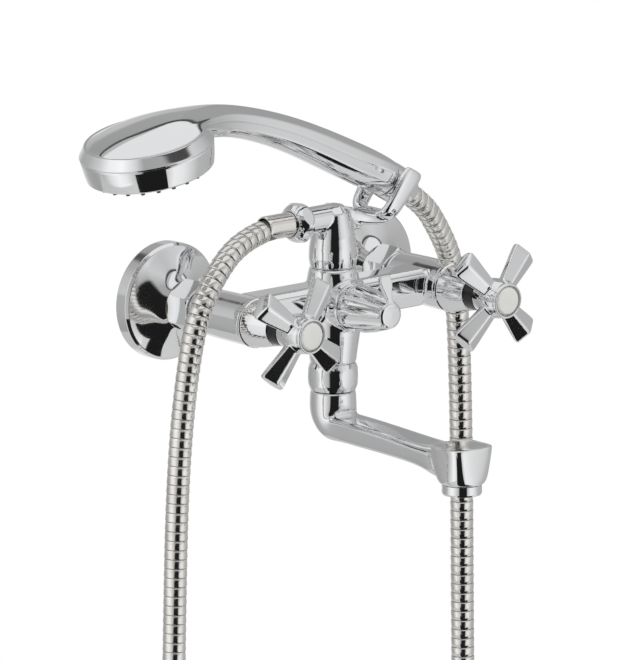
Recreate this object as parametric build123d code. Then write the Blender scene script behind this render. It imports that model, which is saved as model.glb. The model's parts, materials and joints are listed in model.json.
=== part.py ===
from build123d import *
import math
import os

# Wall-mounted bath and shower mixer with two cross handles, in millimetres.
# The origin is midway between the two wall inlets, on the wall's face.
# The wall is the plane Y = 0, the room lies towards -Y, and +Z is up.

# Clearances
fit_gap = 0.05  # between pieces that are fixed to each other
run_gap = 0.06  # between pieces that turn on each other
face_gap = 0.3  # between faces that pass each other

# Wall connection
inlet_spacing = 150.0
stub_radius = 10.48  # half-inch pipe thread
stub_length = 15.0  # how far the thread reaches into the wall
inlet_bore = 7.5
joint_thread_radius = 12.2
joint_thread_length = 9.5

# Wall flange
flange_radius = 34.8
flange_rim = 8.8
flange_depth = 21.2
flange_neck_radius = 14.4
flange_wall = 1.2

# Union nut
union_flats = 27.6
union_corner_radius = 15.9
union_length = 16.5
union_lip = 3.4
washer_thickness = 2.0
tail_collar = 2.4
tail_radius = 9.6
tail_depth = 12.0  # how far the tail is screwed into the body

# Body casting
body_out = 66.0  # from the wall to the body's axis
barrel_radius = 14.4
barrel_front = 85.0  # from the wall to the seat of the headwork
bar_half_depth = 11.5
bar_top = 11.5
bar_bottom = 11.8
bar_bevel = 3.5
bar_front_low = 2.0
bar_lower_half = 5.5
centre_radius = 16.3
centre_top = 20.0
centre_bottom = 36.7
boss_radius = 14.4
boss_front = 85.6
water_bore = 5.0
valve_bore = 8.9
valve_bore_depth = 24.0
seat_bore = 5.0
diverter_bore = 9.0
diverter_bore_depth = 28.0
upper_bore = 6.5

# Headwork and its cover
disc_thickness = 2.2
disc_radius = 6.3
headwork_flange_radius = 11.0
headwork_neck_radius = 6.5
headwork_front = 113.5
spindle_radius = 4.0
spindle_front = 126.0
bell_base_radius = 14.8
bell_front_radius = 10.7
bell_length = 21.0
bell_wall = 1.3
sleeve_radius = 9.7
sleeve_front = 113.9

# Cross handle
hub_back = 114.3
hub_front = 136.0
hub_radius = 11.7
hub_ring_radius = 10.3
button_radius = 8.1
button_back = 133.2
button_front = 136.4
arm_reach = 34.1
arm_angles_left = [53.4, 143.4, 233.4, 323.4]
arm_angles_right = [45.5, 135.5, 225.5, 315.5]
screw_radius = 2.0
screw_head_radius = 3.6

# Diverter
knob_drop = 1.0  # the knob's axis below the handles' axes
knob_back = 86.2
knob_base_radius = 14.3
knob_front_radius = 8.4
knob_front = 116.8
knob_flutes = 8
flute_radius = 5.5
knob_wall = 2.2
diverter_spindle_radius = 3.5
diverter_spindle_front = 112.0
pointer_disc_radius = 8.0
pointer_disc_thickness = 2.2
pointer_reach = 23.0
pointer_waist = 3.6
pointer_tip_width = 9.0
pointer_lean = 18.0

# Shower column, with the hose outlet and the fork
column_base_radius = 13.4
column_belly_radius = 14.3
column_top_radius = 11.0
outlet_height = 49.5
outlet_radius = 8.0
outlet_end = 22.4  # from the column's axis to the nut's face
outlet_thread_radius = 9.3
outlet_thread_length = 7.0
outlet_bore = 5.5
nipple_radius = 8.5
nipple_half_length = 7.0
fork_centre = (43.1, 65.1)  # on the hose nut's axis, as X and Z
handle_droop = 31.4  # the nut's axis below the horizontal
fork_inner_radius = 11.8
fork_half_width = 16.8
fork_thickness = 7.0
fork_below = 27.0
fork_above = 9.4
arm_depth = 12.0

# Hose and its ends
hose_crest_radius = 6.9
hose_groove_radius = 6.3
hose_bore_radius = 4.5
hose_ribs = 198
ferrule_radius = 7.5
ferrule_end = 52.8  # from the column's axis to the ferrule's mouth
ferrule_socket = 19.4
hose_nut_radius = 12.1
hose_nut_flats = 21.8
hose_nut_length = 9.0
cone_nut_radius = 11.5
cone_nut_straight = 9.0
cone_nut_length = 20.6
cone_nut_end_radius = 8.2
hose_lead = 25.4  # from the hose's end to its first bend

# Handset
handle_end = (39.5, 67.0)  # X and Z of the handle's end face
stem_radius = 10.1
stem_out = 5.0
stem_in = 12.0
handset_wall = 2.4
head_centre = (-142.5, 113.5)  # X and Z of the ring's upper edge
head_tilt = 12.0
dome_radius = 37.6
dome_height = 14.6
ring_radius = 40.0
ring_height = 8.0
skirt_end_radius = 37.4
skirt_depth = 18.2
face_radius = 34.0
face_thickness = 2.4
nozzle_radius = 1.2
nozzle_out = 2.8
nozzle_rings = [(0.0, 1), (8.0, 6), (16.0, 11), (24.2, 16), (32.2, 22)]

# Spout
spout_nut_radius = 15.1
spout_nut_flats = 28.6
spout_nut_length = 16.2
spout_nut_lip = 3.2
neck_thread_radius = 11.6
neck_thread_length = 9.3
spout_tube_radius = 9.0
spout_tube_in = 7.0  # how far the tube reaches up inside the neck
collar_radius = 11.4
collar_height = 3.0
spout_drop_radius = 13.8
spout_top = 67.3  # below the inlets
spout_arm_height = 13.0
spout_arm_width = 25.0
head_front = 195.5  # from the wall
head_width = 31.0
head_length = 29.0
aerator_out = 181.5  # from the wall
head_bottom = 90.2
head_bottom_radius = 12.4
aerator_radius = 11.8
aerator_height = 6.2
aerator_thread_radius = 10.6
aerator_thread_length = 6.5
aerator_bore = 9.1

valve_x = inlet_spacing / 2
axis_y = -body_out
nodes = {}


def turned(outline, origin, along):
    """A solid of revolution from points of (radius, distance along the axis)."""
    face = make_face(Polyline(*outline, close=True))
    return Plane(origin=origin, z_dir=along) * Rot(90, 0, 0) * revolve(face, Axis.Y)


def outward(x, z, outline):
    """Turned about a line square to the wall; distances count from the wall."""
    return turned(outline, (x, 0, z), (0, -1, 0))


def upright(x, y, outline):
    """Turned about a vertical line; distances are heights."""
    return turned(outline, (x, y, 0), (0, 0, 1))


def ring(inner, outer, start, end):
    return [(inner, start), (outer, start), (outer, end), (inner, end)]


def rod(radius, start, end):
    return [(0, start), (radius, start), (radius, end), (0, end)]


def prism(sides, flats, start, end, turn=0.0):
    """A regular prism about +Z, as wide as flats between opposite faces."""
    shape = RegularPolygon(flats / 2, sides, major_radius=False, rotation=turn)
    return Pos(0, 0, start) * extrude(shape, end - start)


def facing_room(x, z):
    """Local X is +X, local Y is +Z, and local Z counts from the wall outwards."""
    return Plane(origin=(x, 0, z), x_dir=(1, 0, 0), z_dir=(0, -1, 0))


# Wall flange, connector and union nut, for one side
def make_inlet(side, x):
    arc_out = ThreePointArc((31.0, 10.6), (20.4, 14.2), (flange_neck_radius, flange_depth))
    rim = Polyline((flange_radius, 0), (flange_radius - 0.3, flange_rim), (31.0, 10.6))
    neck = Polyline(
        (flange_neck_radius, flange_depth),
        (flange_neck_radius - flange_wall, flange_depth),
    )
    arc_in = ThreePointArc(
        (flange_neck_radius - flange_wall, flange_depth),
        (19.4, 13.2),
        (30.4, 9.3),
    )
    back = Polyline(
        (30.4, 9.3),
        (flange_radius - 0.3 - flange_wall, flange_rim - 0.8),
        (flange_radius - flange_wall, 0),
        (flange_radius, 0),
    )
    shell = revolve(make_face([rim, arc_out, neck, arc_in, back]), Axis.Y)
    nodes[f"wall_flange_{side}"] = facing_room(x, 0) * Rot(90, 0, 0) * shell

    nut_back = flange_depth + face_gap
    nut_front = nut_back + union_length
    lip_back = nut_front - union_lip
    collar_back = lip_back - tail_collar
    thread_front = collar_back - washer_thickness
    thread_back = thread_front - joint_thread_length
    nodes[f"inlet_connector_{side}"] = outward(
        x,
        0,
        [
            (inlet_bore, -stub_length),
            (stub_radius, -stub_length),
            (stub_radius, 0.0),
            (stub_radius + 1.2, 1.0),
            (stub_radius + 1.2, thread_back),
            (joint_thread_radius, thread_back),
            (joint_thread_radius, thread_front),
            (inlet_bore, thread_front),
        ],
    )

    hexagon = prism(6, union_flats, nut_back, nut_front, 30.0)
    barrel = turned(
        [
            (0, nut_back),
            (union_corner_radius - 1.3, nut_back),
            (union_corner_radius, nut_back + 1.3),
            (union_corner_radius, nut_front - 1.5),
            (union_corner_radius - 1.5, nut_front),
            (0, nut_front),
        ],
        (0, 0, 0),
        (0, 0, 1),
    )
    hole = turned(
        [
            (0, nut_back - 1),
            (joint_thread_radius + fit_gap, nut_back - 1),
            (joint_thread_radius + fit_gap, lip_back),
            (tail_radius + fit_gap, lip_back),
            (tail_radius + fit_gap, nut_front + 1),
            (0, nut_front + 1),
        ],
        (0, 0, 0),
        (0, 0, 1),
    )
    nodes[f"union_nut_{side}"] = facing_room(x, 0) * ((hexagon & barrel) - hole)

    nodes[f"union_washer_{side}"] = outward(
        x, 0, ring(inlet_bore, joint_thread_radius - 0.4, thread_front, collar_back)
    )
    nodes[f"inlet_tail_{side}"] = outward(
        x,
        0,
        [
            (inlet_bore - 1.0, collar_back),
            (joint_thread_radius - 0.4, collar_back),
            (joint_thread_radius - 0.4, lip_back),
            (tail_radius, lip_back),
            (tail_radius, nut_front + face_gap + tail_depth),
            (inlet_bore - 1.0, nut_front + face_gap + tail_depth),
        ],
    )


# Body casting: a faceted bar between two valve barrels, with a centre block
body_back = flange_depth + face_gap + union_length + face_gap


def make_body():
    section = Polyline(
        (-bar_half_depth, bar_top - bar_bevel),
        (-bar_half_depth + bar_bevel, bar_top),
        (bar_half_depth - bar_bevel, bar_top),
        (bar_half_depth, bar_top - bar_bevel),
        (bar_half_depth, -bar_front_low),
        (bar_lower_half, -bar_bottom),
        (-bar_lower_half, -bar_bottom),
        (-bar_half_depth, -bar_front_low),
        close=True,
    )
    bar_half = valve_x - barrel_radius + 3.0
    across = Plane(origin=(-bar_half, axis_y, 0), x_dir=(0, 1, 0), z_dir=(1, 0, 0))
    body = extrude(across * make_face(section), 2 * bar_half)

    body += upright(
        0,
        axis_y,
        [
            (0, -centre_bottom),
            (neck_thread_radius + 2.0, -centre_bottom),
            (neck_thread_radius + 2.4, -centre_bottom + 4),
            (centre_radius - 0.3, -centre_bottom + 18),
            (centre_radius, -9),
            (centre_radius, 8),
            (column_base_radius + 0.8, centre_top - 1.2),
            (column_base_radius, centre_top),
            (0, centre_top),
        ],
    )
    neck_end = -centre_bottom - neck_thread_length
    body += upright(0, axis_y, rod(neck_thread_radius, neck_end, -centre_bottom + 1))
    body += outward(0, -knob_drop, rod(boss_radius, body_out, boss_front))
    for x in (-valve_x, valve_x):
        body += outward(
            x,
            0,
            [
                (0, body_back),
                (barrel_radius - 1.6, body_back),
                (barrel_radius - 0.6, body_back + 2.5),
                (barrel_radius - 0.2, 60),
                (barrel_radius, barrel_front),
                (0, barrel_front),
            ],
        )

    for x in (-valve_x, valve_x):
        bore_end = barrel_front - valve_bore_depth
        tail_end = body_back + tail_depth
        body -= outward(x, 0, rod(valve_bore, bore_end, barrel_front + 1))
        body -= outward(x, 0, rod(seat_bore, tail_end - 1, bore_end + 1))
        body -= outward(x, 0, rod(tail_radius + fit_gap, body_back - 1, tail_end))
    channel = turned(rod(water_bore, -valve_x, valve_x), (0, axis_y - 4, 0), (1, 0, 0))
    body -= channel
    bore_back = boss_front - diverter_bore_depth
    body -= outward(0, -knob_drop, rod(diverter_bore, bore_back, boss_front + 1))
    body -= upright(0, axis_y, rod(upper_bore, -centre_bottom - 1, centre_top + 1))
    nipple_low = centre_top - nipple_half_length
    body -= upright(0, axis_y, rod(nipple_radius + fit_gap, nipple_low, centre_top + 1))
    tube_top = -centre_bottom - neck_thread_length + spout_tube_in + 4.0
    body -= upright(0, axis_y, rod(spout_tube_radius + run_gap, neck_end - 1, tube_top))
    nodes["body_casting"] = body


# Headwork, discs, spindle, bell and sleeve, for one side
def make_valve(side, x):
    bore_end = barrel_front - valve_bore_depth
    seal_front = bore_end + 1.2
    fixed_front = seal_front + disc_thickness
    moving_back = fixed_front + 0.1
    moving_front = moving_back + disc_thickness
    foot_front = moving_front + 3.0
    nodes[f"valve_seal_{side}"] = outward(
        x, 0, ring(seat_bore, valve_bore - fit_gap, bore_end, seal_front)
    )
    ports = [Pos(0, s * 3.6, 0) * Cylinder(1.6, 80) for s in (-1, 1)]
    plain = outward(x, 0, rod(disc_radius, seal_front, fixed_front))
    holes = [facing_room(x, 0) * Pos(0, 0, 70) * p for p in ports]
    nodes[f"fixed_disc_{side}"] = plain - holes
    moving = outward(x, 0, rod(disc_radius, moving_back, moving_front))
    groove = facing_room(x, 0) * Pos(0, 0, moving_back) * Box(3.0, 10.0, 1.6)
    nodes[f"moving_disc_{side}"] = moving - groove

    headwork = outward(
        x,
        0,
        [
            (disc_radius + run_gap, seal_front),
            (valve_bore - fit_gap, seal_front),
            (valve_bore - fit_gap, barrel_front),
            (headwork_flange_radius, barrel_front),
            (headwork_flange_radius, barrel_front + 4),
            (headwork_neck_radius, barrel_front + 4),
            (headwork_neck_radius, headwork_front),
            (spindle_radius + run_gap, headwork_front),
            (spindle_radius + run_gap, foot_front + 0.1),
            (disc_radius + run_gap, foot_front + 0.1),
        ],
    )
    window = turned(rod(3.0, -14, 14), (x, -(moving_front + 1.5), 0), (1, 0, 0))
    nodes[f"headwork_{side}"] = headwork - window

    spindle = outward(
        x,
        0,
        [
            (0, moving_front),
            (disc_radius - 0.2, moving_front),
            (disc_radius - 0.2, foot_front),
            (spindle_radius, foot_front),
            (spindle_radius, spindle_front),
            (0, spindle_front),
        ],
    )
    tapped = outward(x, 0, rod(screw_radius + fit_gap, spindle_front - 9, spindle_front + 1))
    nodes[f"spindle_{side}"] = spindle - tapped

    bell_front = barrel_front + bell_length
    nodes[f"valve_bell_{side}"] = outward(
        x,
        0,
        [
            (bell_base_radius - bell_wall, barrel_front),
            (bell_base_radius, barrel_front),
            (bell_base_radius, barrel_front + 1.8),
            (bell_base_radius - 0.8, barrel_front + 2.4),
            (bell_base_radius - 1.6, barrel_front + 9),
            (bell_front_radius, bell_front - 1.5),
            (bell_front_radius - 0.3, bell_front),
            (headwork_neck_radius + fit_gap, bell_front),
            (headwork_neck_radius + fit_gap, bell_front - 2.5),
            (bell_front_radius - 2.0, bell_front - 2.5),
            (bell_base_radius - 1.6 - bell_wall, barrel_front + 9),
            (bell_base_radius - bell_wall, barrel_front + 4),
        ],
    )
    nodes[f"neck_sleeve_{side}"] = outward(
        x, 0, ring(headwork_neck_radius + fit_gap, sleeve_radius, bell_front, sleeve_front)
    )


# Cross handle with four flared, ridged arms
def make_handle(name, side, x, angles):
    root_side = [(4.8, 129.4), (4.6, 125), (2.8, 121.5)]
    root = [(0, 131)] + root_side + [(-a, b) for a, b in reversed(root_side)]
    tip_side = [(9.4, 125.2), (8.6, 120.4), (4.8, 117.6)]
    tip = [(0, 128.6)] + tip_side + [(-a, b) for a, b in reversed(tip_side)]

    def section(points, at):
        place = Plane(origin=(at, 0, 0), x_dir=(0, 1, 0), z_dir=(1, 0, 0))
        return place * make_face(Polyline(*points, close=True))

    arm = loft([section(root, 7.0), section(tip, arm_reach + 1.0)], ruled=True)
    arm &= turned(rod(arm_reach, 100, 140), (0, 0, 0), (0, 0, 1))
    hub = turned(
        [
            (0, hub_back),
            (hub_ring_radius - 0.4, hub_back),
            (hub_ring_radius + 0.3, hub_back + 3),
            (hub_radius, hub_back + 7),
            (hub_radius, hub_back + 12),
            (hub_radius - 0.7, hub_front - 4.5),
            (hub_ring_radius, hub_front - 2.6),
            (hub_ring_radius, hub_front - 0.6),
            (hub_ring_radius - 0.6, hub_front),
            (0, hub_front),
        ],
        (0, 0, 0),
        (0, 0, 1),
    )
    for angle in angles:
        hub += Rot(0, 0, angle) * arm
    socket = spindle_front + face_gap
    seat = socket + 2.0
    hub -= turned(rod(spindle_radius + fit_gap, hub_back - 1, socket), (0, 0, 0), (0, 0, 1))
    hub -= turned(rod(headwork_neck_radius + 1.2, hub_back - 1, hub_back + 4), (0, 0, 0), (0, 0, 1))
    hub -= turned(rod(screw_radius + fit_gap, socket - 1, seat + 1), (0, 0, 0), (0, 0, 1))
    hub -= turned(rod(screw_head_radius + 0.4, seat, button_back + 1), (0, 0, 0), (0, 0, 1))
    hub -= turned(rod(button_radius + fit_gap, button_back, hub_front + 1), (0, 0, 0), (0, 0, 1))
    nodes[name] = facing_room(x, 0) * hub

    nodes[f"index_button_{side}"] = outward(
        x,
        0,
        [
            (0, button_back),
            (button_radius, button_back),
            (button_radius, button_front - 0.9),
            (button_radius - 0.8, button_front - 0.2),
            (button_radius - 3.0, button_front),
            (0, button_front + 0.1),
        ],
    )
    screw = outward(
        x,
        0,
        [
            (0, spindle_front - 8),
            (screw_radius, spindle_front - 8),
            (screw_radius, seat),
            (screw_head_radius, seat),
            (screw_head_radius, seat + 2.2),
            (0, seat + 2.2),
        ],
    )
    slot = facing_room(x, 0) * Pos(0, 0, seat + 2.2) * Box(1.0, 9.0, 1.6)
    nodes[f"handle_screw_{side}"] = screw - slot


# Diverter: cartridge, spindle, fluted knob and its pointer
def make_diverter():
    z = -knob_drop
    bore_back = boss_front - diverter_bore_depth
    foot_front = bore_back + 12.0
    cartridge = outward(
        0,
        z,
        [
            (upper_bore, bore_back),
            (diverter_bore - fit_gap, bore_back),
            (diverter_bore - fit_gap, boss_front),
            (headwork_flange_radius - 0.4, boss_front),
            (headwork_flange_radius - 0.4, boss_front + 4),
            (headwork_neck_radius, boss_front + 4),
            (headwork_neck_radius, boss_front + 12),
            (diverter_spindle_radius + run_gap, boss_front + 12),
            (diverter_spindle_radius + run_gap, foot_front + 0.1),
            (upper_bore, foot_front + 0.1),
        ],
    )
    ports = upright(0, axis_y, rod(4.0, -16, 16))
    sides = turned(rod(3.0, -14, 14), (0, axis_y, z), (1, 0, 0))
    nodes["diverter_cartridge"] = cartridge - ports - sides
    spindle = outward(
        0,
        z,
        [
            (0, bore_back + 3),
            (upper_bore - run_gap, bore_back + 3),
            (upper_bore - run_gap, foot_front),
            (diverter_spindle_radius, foot_front),
            (diverter_spindle_radius, diverter_spindle_front),
            (0, diverter_spindle_front),
        ],
    )
    passage = upright(0, axis_y, rod(2.6, 0, 16))
    tapped = outward(0, z, rod(1.6, diverter_spindle_front - 8, diverter_spindle_front + 1))
    nodes["diverter_spindle"] = spindle - passage - tapped

    knob = turned(
        [
            (0, knob_back),
            (knob_base_radius, knob_back),
            (knob_base_radius, knob_back + 3),
            (knob_base_radius - 0.6, knob_back + 10),
            (knob_base_radius - 2.2, knob_back + 18),
            (knob_front_radius + 1.6, knob_front - 5.5),
            (knob_front_radius, knob_front),
            (0, knob_front),
        ],
        (0, 0, 0),
        (0, 0, 1),
    )
    # Each flute is a cylinder that leans in along the knob's taper
    lean = math.degrees(math.atan2(knob_base_radius - knob_front_radius, knob_front - knob_back))
    for i in range(knob_flutes):
        turn = 360.0 * (i + 0.5) / knob_flutes
        flute = Pos(knob_base_radius + 3.6, 0, knob_back + 4) * Rot(0, -lean, 0)
        flute *= Pos(0, 0, 25) * Cylinder(flute_radius, 50)
        knob -= Rot(0, 0, turn) * flute
    hollow = knob_back + 16.0
    knob -= turned(rod(knob_base_radius - knob_wall, knob_back - 1, knob_back + 6), (0, 0, 0), (0, 0, 1))
    knob -= turned(rod(headwork_neck_radius + 0.5, knob_back - 1, hollow), (0, 0, 0), (0, 0, 1))
    knob -= turned(
        rod(diverter_spindle_radius + fit_gap, knob_back - 1, diverter_spindle_front + face_gap),
        (0, 0, 0),
        (0, 0, 1),
    )
    knob -= turned(rod(1.6, knob_back, knob_front + 1), (0, 0, 0), (0, 0, 1))
    nodes["diverter_knob"] = facing_room(0, z) * knob

    disc_back = knob_front + fit_gap
    disc_front = disc_back + pointer_disc_thickness
    disc = turned(
        [
            (0, disc_back),
            (pointer_disc_radius, disc_back),
            (pointer_disc_radius, disc_front - 1.2),
            (pointer_disc_radius - 1.5, disc_front - 0.3),
            (0, disc_front),
        ],
        (0, 0, 0),
        (0, 0, 1),
    )
    tip_half = pointer_tip_width / 2
    waist_half = pointer_waist / 2
    blade = make_face(
        Polyline(
            (-waist_half - 1.6, 4.0),
            (waist_half + 1.6, 4.0),
            (waist_half, 9.5),
            (tip_half, pointer_reach - 4.0),
            (tip_half - 1.0, pointer_reach),
            (-tip_half + 1.0, pointer_reach),
            (-tip_half, pointer_reach - 4.0),
            (-waist_half, 9.5),
            close=True,
        )
    )
    pointer = Pos(0, 0, disc_back + 0.6) * Rot(-pointer_lean, 0, 0) * extrude(blade, 3.0)
    pointer -= turned(
        [
            (0, knob_front - 20),
            (knob_front_radius + 5.2, knob_front - 20),
            (knob_front_radius + 1.9, knob_front - 5.5),
            (knob_front_radius + 0.3, disc_back),
            (0, disc_back),
        ],
        (0, 0, 0),
        (0, 0, 1),
    )
    plug = turned(rod(1.55, knob_front - 12, disc_back + 0.5), (0, 0, 0), (0, 0, 1))
    nodes["diverter_pointer"] = facing_room(0, z) * (disc + pointer + plug)


# Shower column with the hose outlet, the arm and the fork
droop = math.radians(handle_droop)
nut_along = Vector(math.cos(droop), 0, -math.sin(droop))  # along the hose nut, away from the handset
nut_across = Vector(math.sin(droop), 0, math.cos(droop))  # square to it, upwards


def make_column():
    base = centre_top + fit_gap
    column = upright(
        0,
        axis_y,
        [
            (0, base),
            (column_base_radius, base),
            (column_belly_radius, base + 5),
            (column_belly_radius - 0.2, base + 11),
            (column_belly_radius - 1.4, base + 19),
            (column_top_radius, outlet_height - 3),
            (column_top_radius - 1.5, outlet_height + 3),
            (column_top_radius - 5.0, outlet_height + 7),
            (0, outlet_height + 8.4),
        ],
    )
    column += turned(rod(outlet_radius, 0, outlet_end), (0, axis_y, outlet_height), (-1, 0, 0))
    column += turned(
        rod(outlet_thread_radius - 1.4, 0, outlet_end + outlet_thread_length),
        (0, axis_y, outlet_height),
        (-1, 0, 0),
    )
    fork_foot = (
        fork_centre[0] - nut_across.X * fork_below,
        fork_centre[1] - nut_across.Z * fork_below,
    )
    side = Plane(origin=(0, axis_y + arm_depth / 2, 0), x_dir=(1, 0, 0), z_dir=(0, -1, 0))
    outline = Polyline(
        (0, outlet_height + 7.5),
        (8, outlet_height + 5.5),
        (19.8, outlet_height - 2.0),
        (28.9, outlet_height - 3.5),
        (fork_foot[0] + 4, fork_foot[1] + 6),
        (fork_foot[0] + 3, fork_foot[1] - 1),
        (fork_foot[0] + 0.4, outlet_height - 11.5),
        (19.8, outlet_height - 10.2),
        (9, outlet_height - 8),
        (0, outlet_height - 8),
        close=True,
    )
    column += extrude(side * make_face(outline), arm_depth)

    yoke_plane = Plane(
        origin=(fork_centre[0], axis_y, fork_centre[1]),
        x_dir=(0, 1, 0),
        z_dir=tuple(nut_along),
    )
    outer = Circle(fork_half_width) + Pos(0, fork_above / 2) * Rectangle(
        2 * fork_half_width, fork_above
    )
    outer += make_face(
        Polyline(
            (-fork_half_width * 0.72, -fork_half_width * 0.7),
            (-arm_depth / 2, -fork_below),
            (arm_depth / 2, -fork_below),
            (fork_half_width * 0.72, -fork_half_width * 0.7),
            close=True,
        )
    )
    inner = Circle(fork_inner_radius) + Pos(0, fork_above) * Rectangle(
        2 * fork_inner_radius, 2 * fork_above
    )
    yoke = extrude(yoke_plane * (outer - inner), fork_thickness / 2, both=True)
    column += yoke
    column -= upright(0, axis_y, rod(nipple_radius + fit_gap, base - 1, base + nipple_half_length))
    column -= upright(0, axis_y, rod(outlet_bore, base, outlet_height))
    column -= turned(
        rod(outlet_bore, 0, outlet_end + outlet_thread_length + 1),
        (0, axis_y, outlet_height),
        (-1, 0, 0),
    )
    nodes["shower_column"] = column
    nodes["column_nipple"] = upright(
        0,
        axis_y,
        ring(
            upper_bore - 1.0,
            nipple_radius,
            centre_top - nipple_half_length + fit_gap,
            base + nipple_half_length - fit_gap,
        ),
    )


# Outlet end of the hose: nut, washer and ferrule
def make_outlet_end():
    origin = (0, axis_y, outlet_height)
    along = (-1, 0, 0)
    nut_start = outlet_end + fit_gap
    nut_end = nut_start + hose_nut_length
    thread = outlet_thread_radius - 1.4
    thread_end = outlet_end + outlet_thread_length
    washer_end = thread_end + 1.0
    flange_end = washer_end + 1.2
    lip = nut_end + 1.6
    hexagon = prism(6, hose_nut_flats, nut_start, lip, 0.0)
    barrel = turned(
        [
            (0, nut_start),
            (hose_nut_radius - 1.6, nut_start),
            (hose_nut_radius, nut_start + 3.2),
            (hose_nut_radius, nut_end - 3.4),
            (hose_nut_radius - 1.7, nut_end),
            (ferrule_radius + 1.2, lip),
            (0, lip),
        ],
        (0, 0, 0),
        (0, 0, 1),
    )
    hole = turned(
        [
            (0, nut_start - 1),
            (thread + fit_gap, nut_start - 1),
            (thread + fit_gap, thread_end),
            (outlet_thread_radius + 0.3, thread_end),
            (outlet_thread_radius + 0.3, flange_end),
            (ferrule_radius + run_gap, flange_end),
            (ferrule_radius + run_gap, lip + 1),
            (0, lip + 1),
        ],
        (0, 0, 0),
        (0, 0, 1),
    )
    place = Plane(origin=origin, x_dir=(0, 1, 0), z_dir=along)
    nodes["hose_nut"] = place * ((hexagon & barrel) - hole)
    washer = ring(outlet_bore, outlet_thread_radius, thread_end, washer_end)
    nodes["hose_washer"] = turned(washer, origin, along)
    socket = ferrule_end - ferrule_socket
    nodes["hose_ferrule"] = turned(
        [
            (hose_bore_radius - 1.2, washer_end),
            (outlet_thread_radius, washer_end),
            (outlet_thread_radius, flange_end),
            (ferrule_radius, flange_end),
            (ferrule_radius, ferrule_end),
            (hose_crest_radius + fit_gap, ferrule_end),
            (hose_crest_radius + fit_gap, socket),
            (hose_bore_radius - fit_gap, socket),
            (hose_bore_radius - fit_gap, ferrule_end - 3),
            (hose_bore_radius - 1.2, ferrule_end - 3),
        ],
        origin,
        along,
    )


# Handset end of the hose: cone nut, washer and nipple
def make_handset_end():
    origin = (handle_end[0], axis_y, handle_end[1])
    along = tuple(nut_along)
    start = 0.6
    end = start + cone_nut_length
    washer_end = stem_out + 1.0
    flange_end = washer_end + 1.2
    nodes["cone_nut"] = turned(
        [
            (stem_radius + fit_gap, start),
            (cone_nut_radius, start),
            (cone_nut_radius, start + cone_nut_straight),
            (cone_nut_end_radius, end),
            (hose_crest_radius + run_gap, end),
            (hose_crest_radius + run_gap, flange_end),
            (stem_radius + fit_gap, flange_end),
        ],
        origin,
        along,
    )
    washer = ring(hose_bore_radius, stem_radius - 0.6, stem_out, washer_end)
    nodes["handset_washer"] = turned(washer, origin, along)
    nodes["hose_nipple"] = turned(
        [
            (hose_bore_radius - 1.2, washer_end),
            (stem_radius - 0.4, washer_end),
            (stem_radius - 0.4, flange_end),
            (hose_bore_radius - fit_gap, flange_end),
            (hose_bore_radius - fit_gap, end - 2),
            (hose_bore_radius - 1.2, end - 2),
        ],
        origin,
        along,
    )


# The hose hangs from the outlet in one long loop and rises to the handset
left_route = [
    (-66.8, -66.0, outlet_height),
    (-102.3, -71.5, 20.3),
    (-115.0, -72.0, -16.6),
    (-123.7, -72.0, -83.5),
    (-126.6, -72.0, -190.0),
    (-127.8, -71.0, -335.0),
]
bottom_route = [
    (-126.5, -69.5, -479.0),
    (-84.0, -67.0, -545.5),
    (-9.0, -64.0, -571.0),
    (65.0, -60.5, -547.5),
    (109.0, -58.0, -484.0),
]
right_route = [
    (109.6, -57.0, -380.0),
    (109.2, -56.0, -275.0),
    (108.3, -56.0, -185.0),
    (107.6, -56.0, -112.0),
    (106.3, -56.0, -58.0),
    (103.4, -57.0, -20.0),
    (96.6, -60.0, 9.0),
    (82.3, -64.0, 31.4),
]


def make_hose():
    start = (-(ferrule_end - ferrule_socket), axis_y, outlet_height)
    seat = stem_out + 2.2 + 0.4
    end = Vector(handle_end[0], axis_y, handle_end[1]) + nut_along * seat
    lead = end + nut_along * hose_lead
    points = [Vector(*p) for p in [start, *left_route, *bottom_route, *right_route]]
    points += [lead, end]
    runs = [(b - a).length for a, b in zip(points, points[1:])]
    radii = []
    for i in range(1, len(points) - 1):
        turn = (points[i] - points[i - 1]).get_angle(points[i + 1] - points[i])
        radii.append(0.45 * min(runs[i - 1], runs[i]) / math.tan(math.radians(turn) / 2))
    print("hose radii", [round(r, 1) for r in radii])
    path = FilletPolyline(*points, radius=radii)
    length = path.length
    print("hose length", round(length, 1))

    plain_start = ferrule_socket + 0.4
    pitch = (length - plain_start - 2 * hose_crest_radius) / hose_ribs
    stations = [(0.0, hose_groove_radius)]
    for i in range(hose_ribs):
        begin = plain_start + i * pitch
        stations += [
            (begin, hose_groove_radius),
            (begin + 0.12 * pitch, hose_crest_radius),
            (begin + 0.76 * pitch, hose_crest_radius),
            (begin + 0.88 * pitch, hose_groove_radius),
        ]
    stations.append((length, hose_groove_radius))

    def circle(distance, radius):
        at = path.position_at(distance / length)
        along = path.tangent_at(distance / length)
        return Plane(origin=at, x_dir=(0, 1, 0), z_dir=along) * Circle(radius)

    tube = loft([circle(d, r) for d, r in stations], ruled=True)
    bore = sweep(Plane(origin=start, x_dir=(0, 1, 0), z_dir=(-1, 0, 0)) * Circle(hose_bore_radius), path)
    bore_section = math.pi * hose_bore_radius**2
    print("bore volume over section times length", round(bore.volume / (bore_section * length), 4))
    hose = tube - bore
    print("hose volume", round(hose.volume), "ring section", round(hose.volume / length, 1))
    nodes["hose"] = hose


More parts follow.
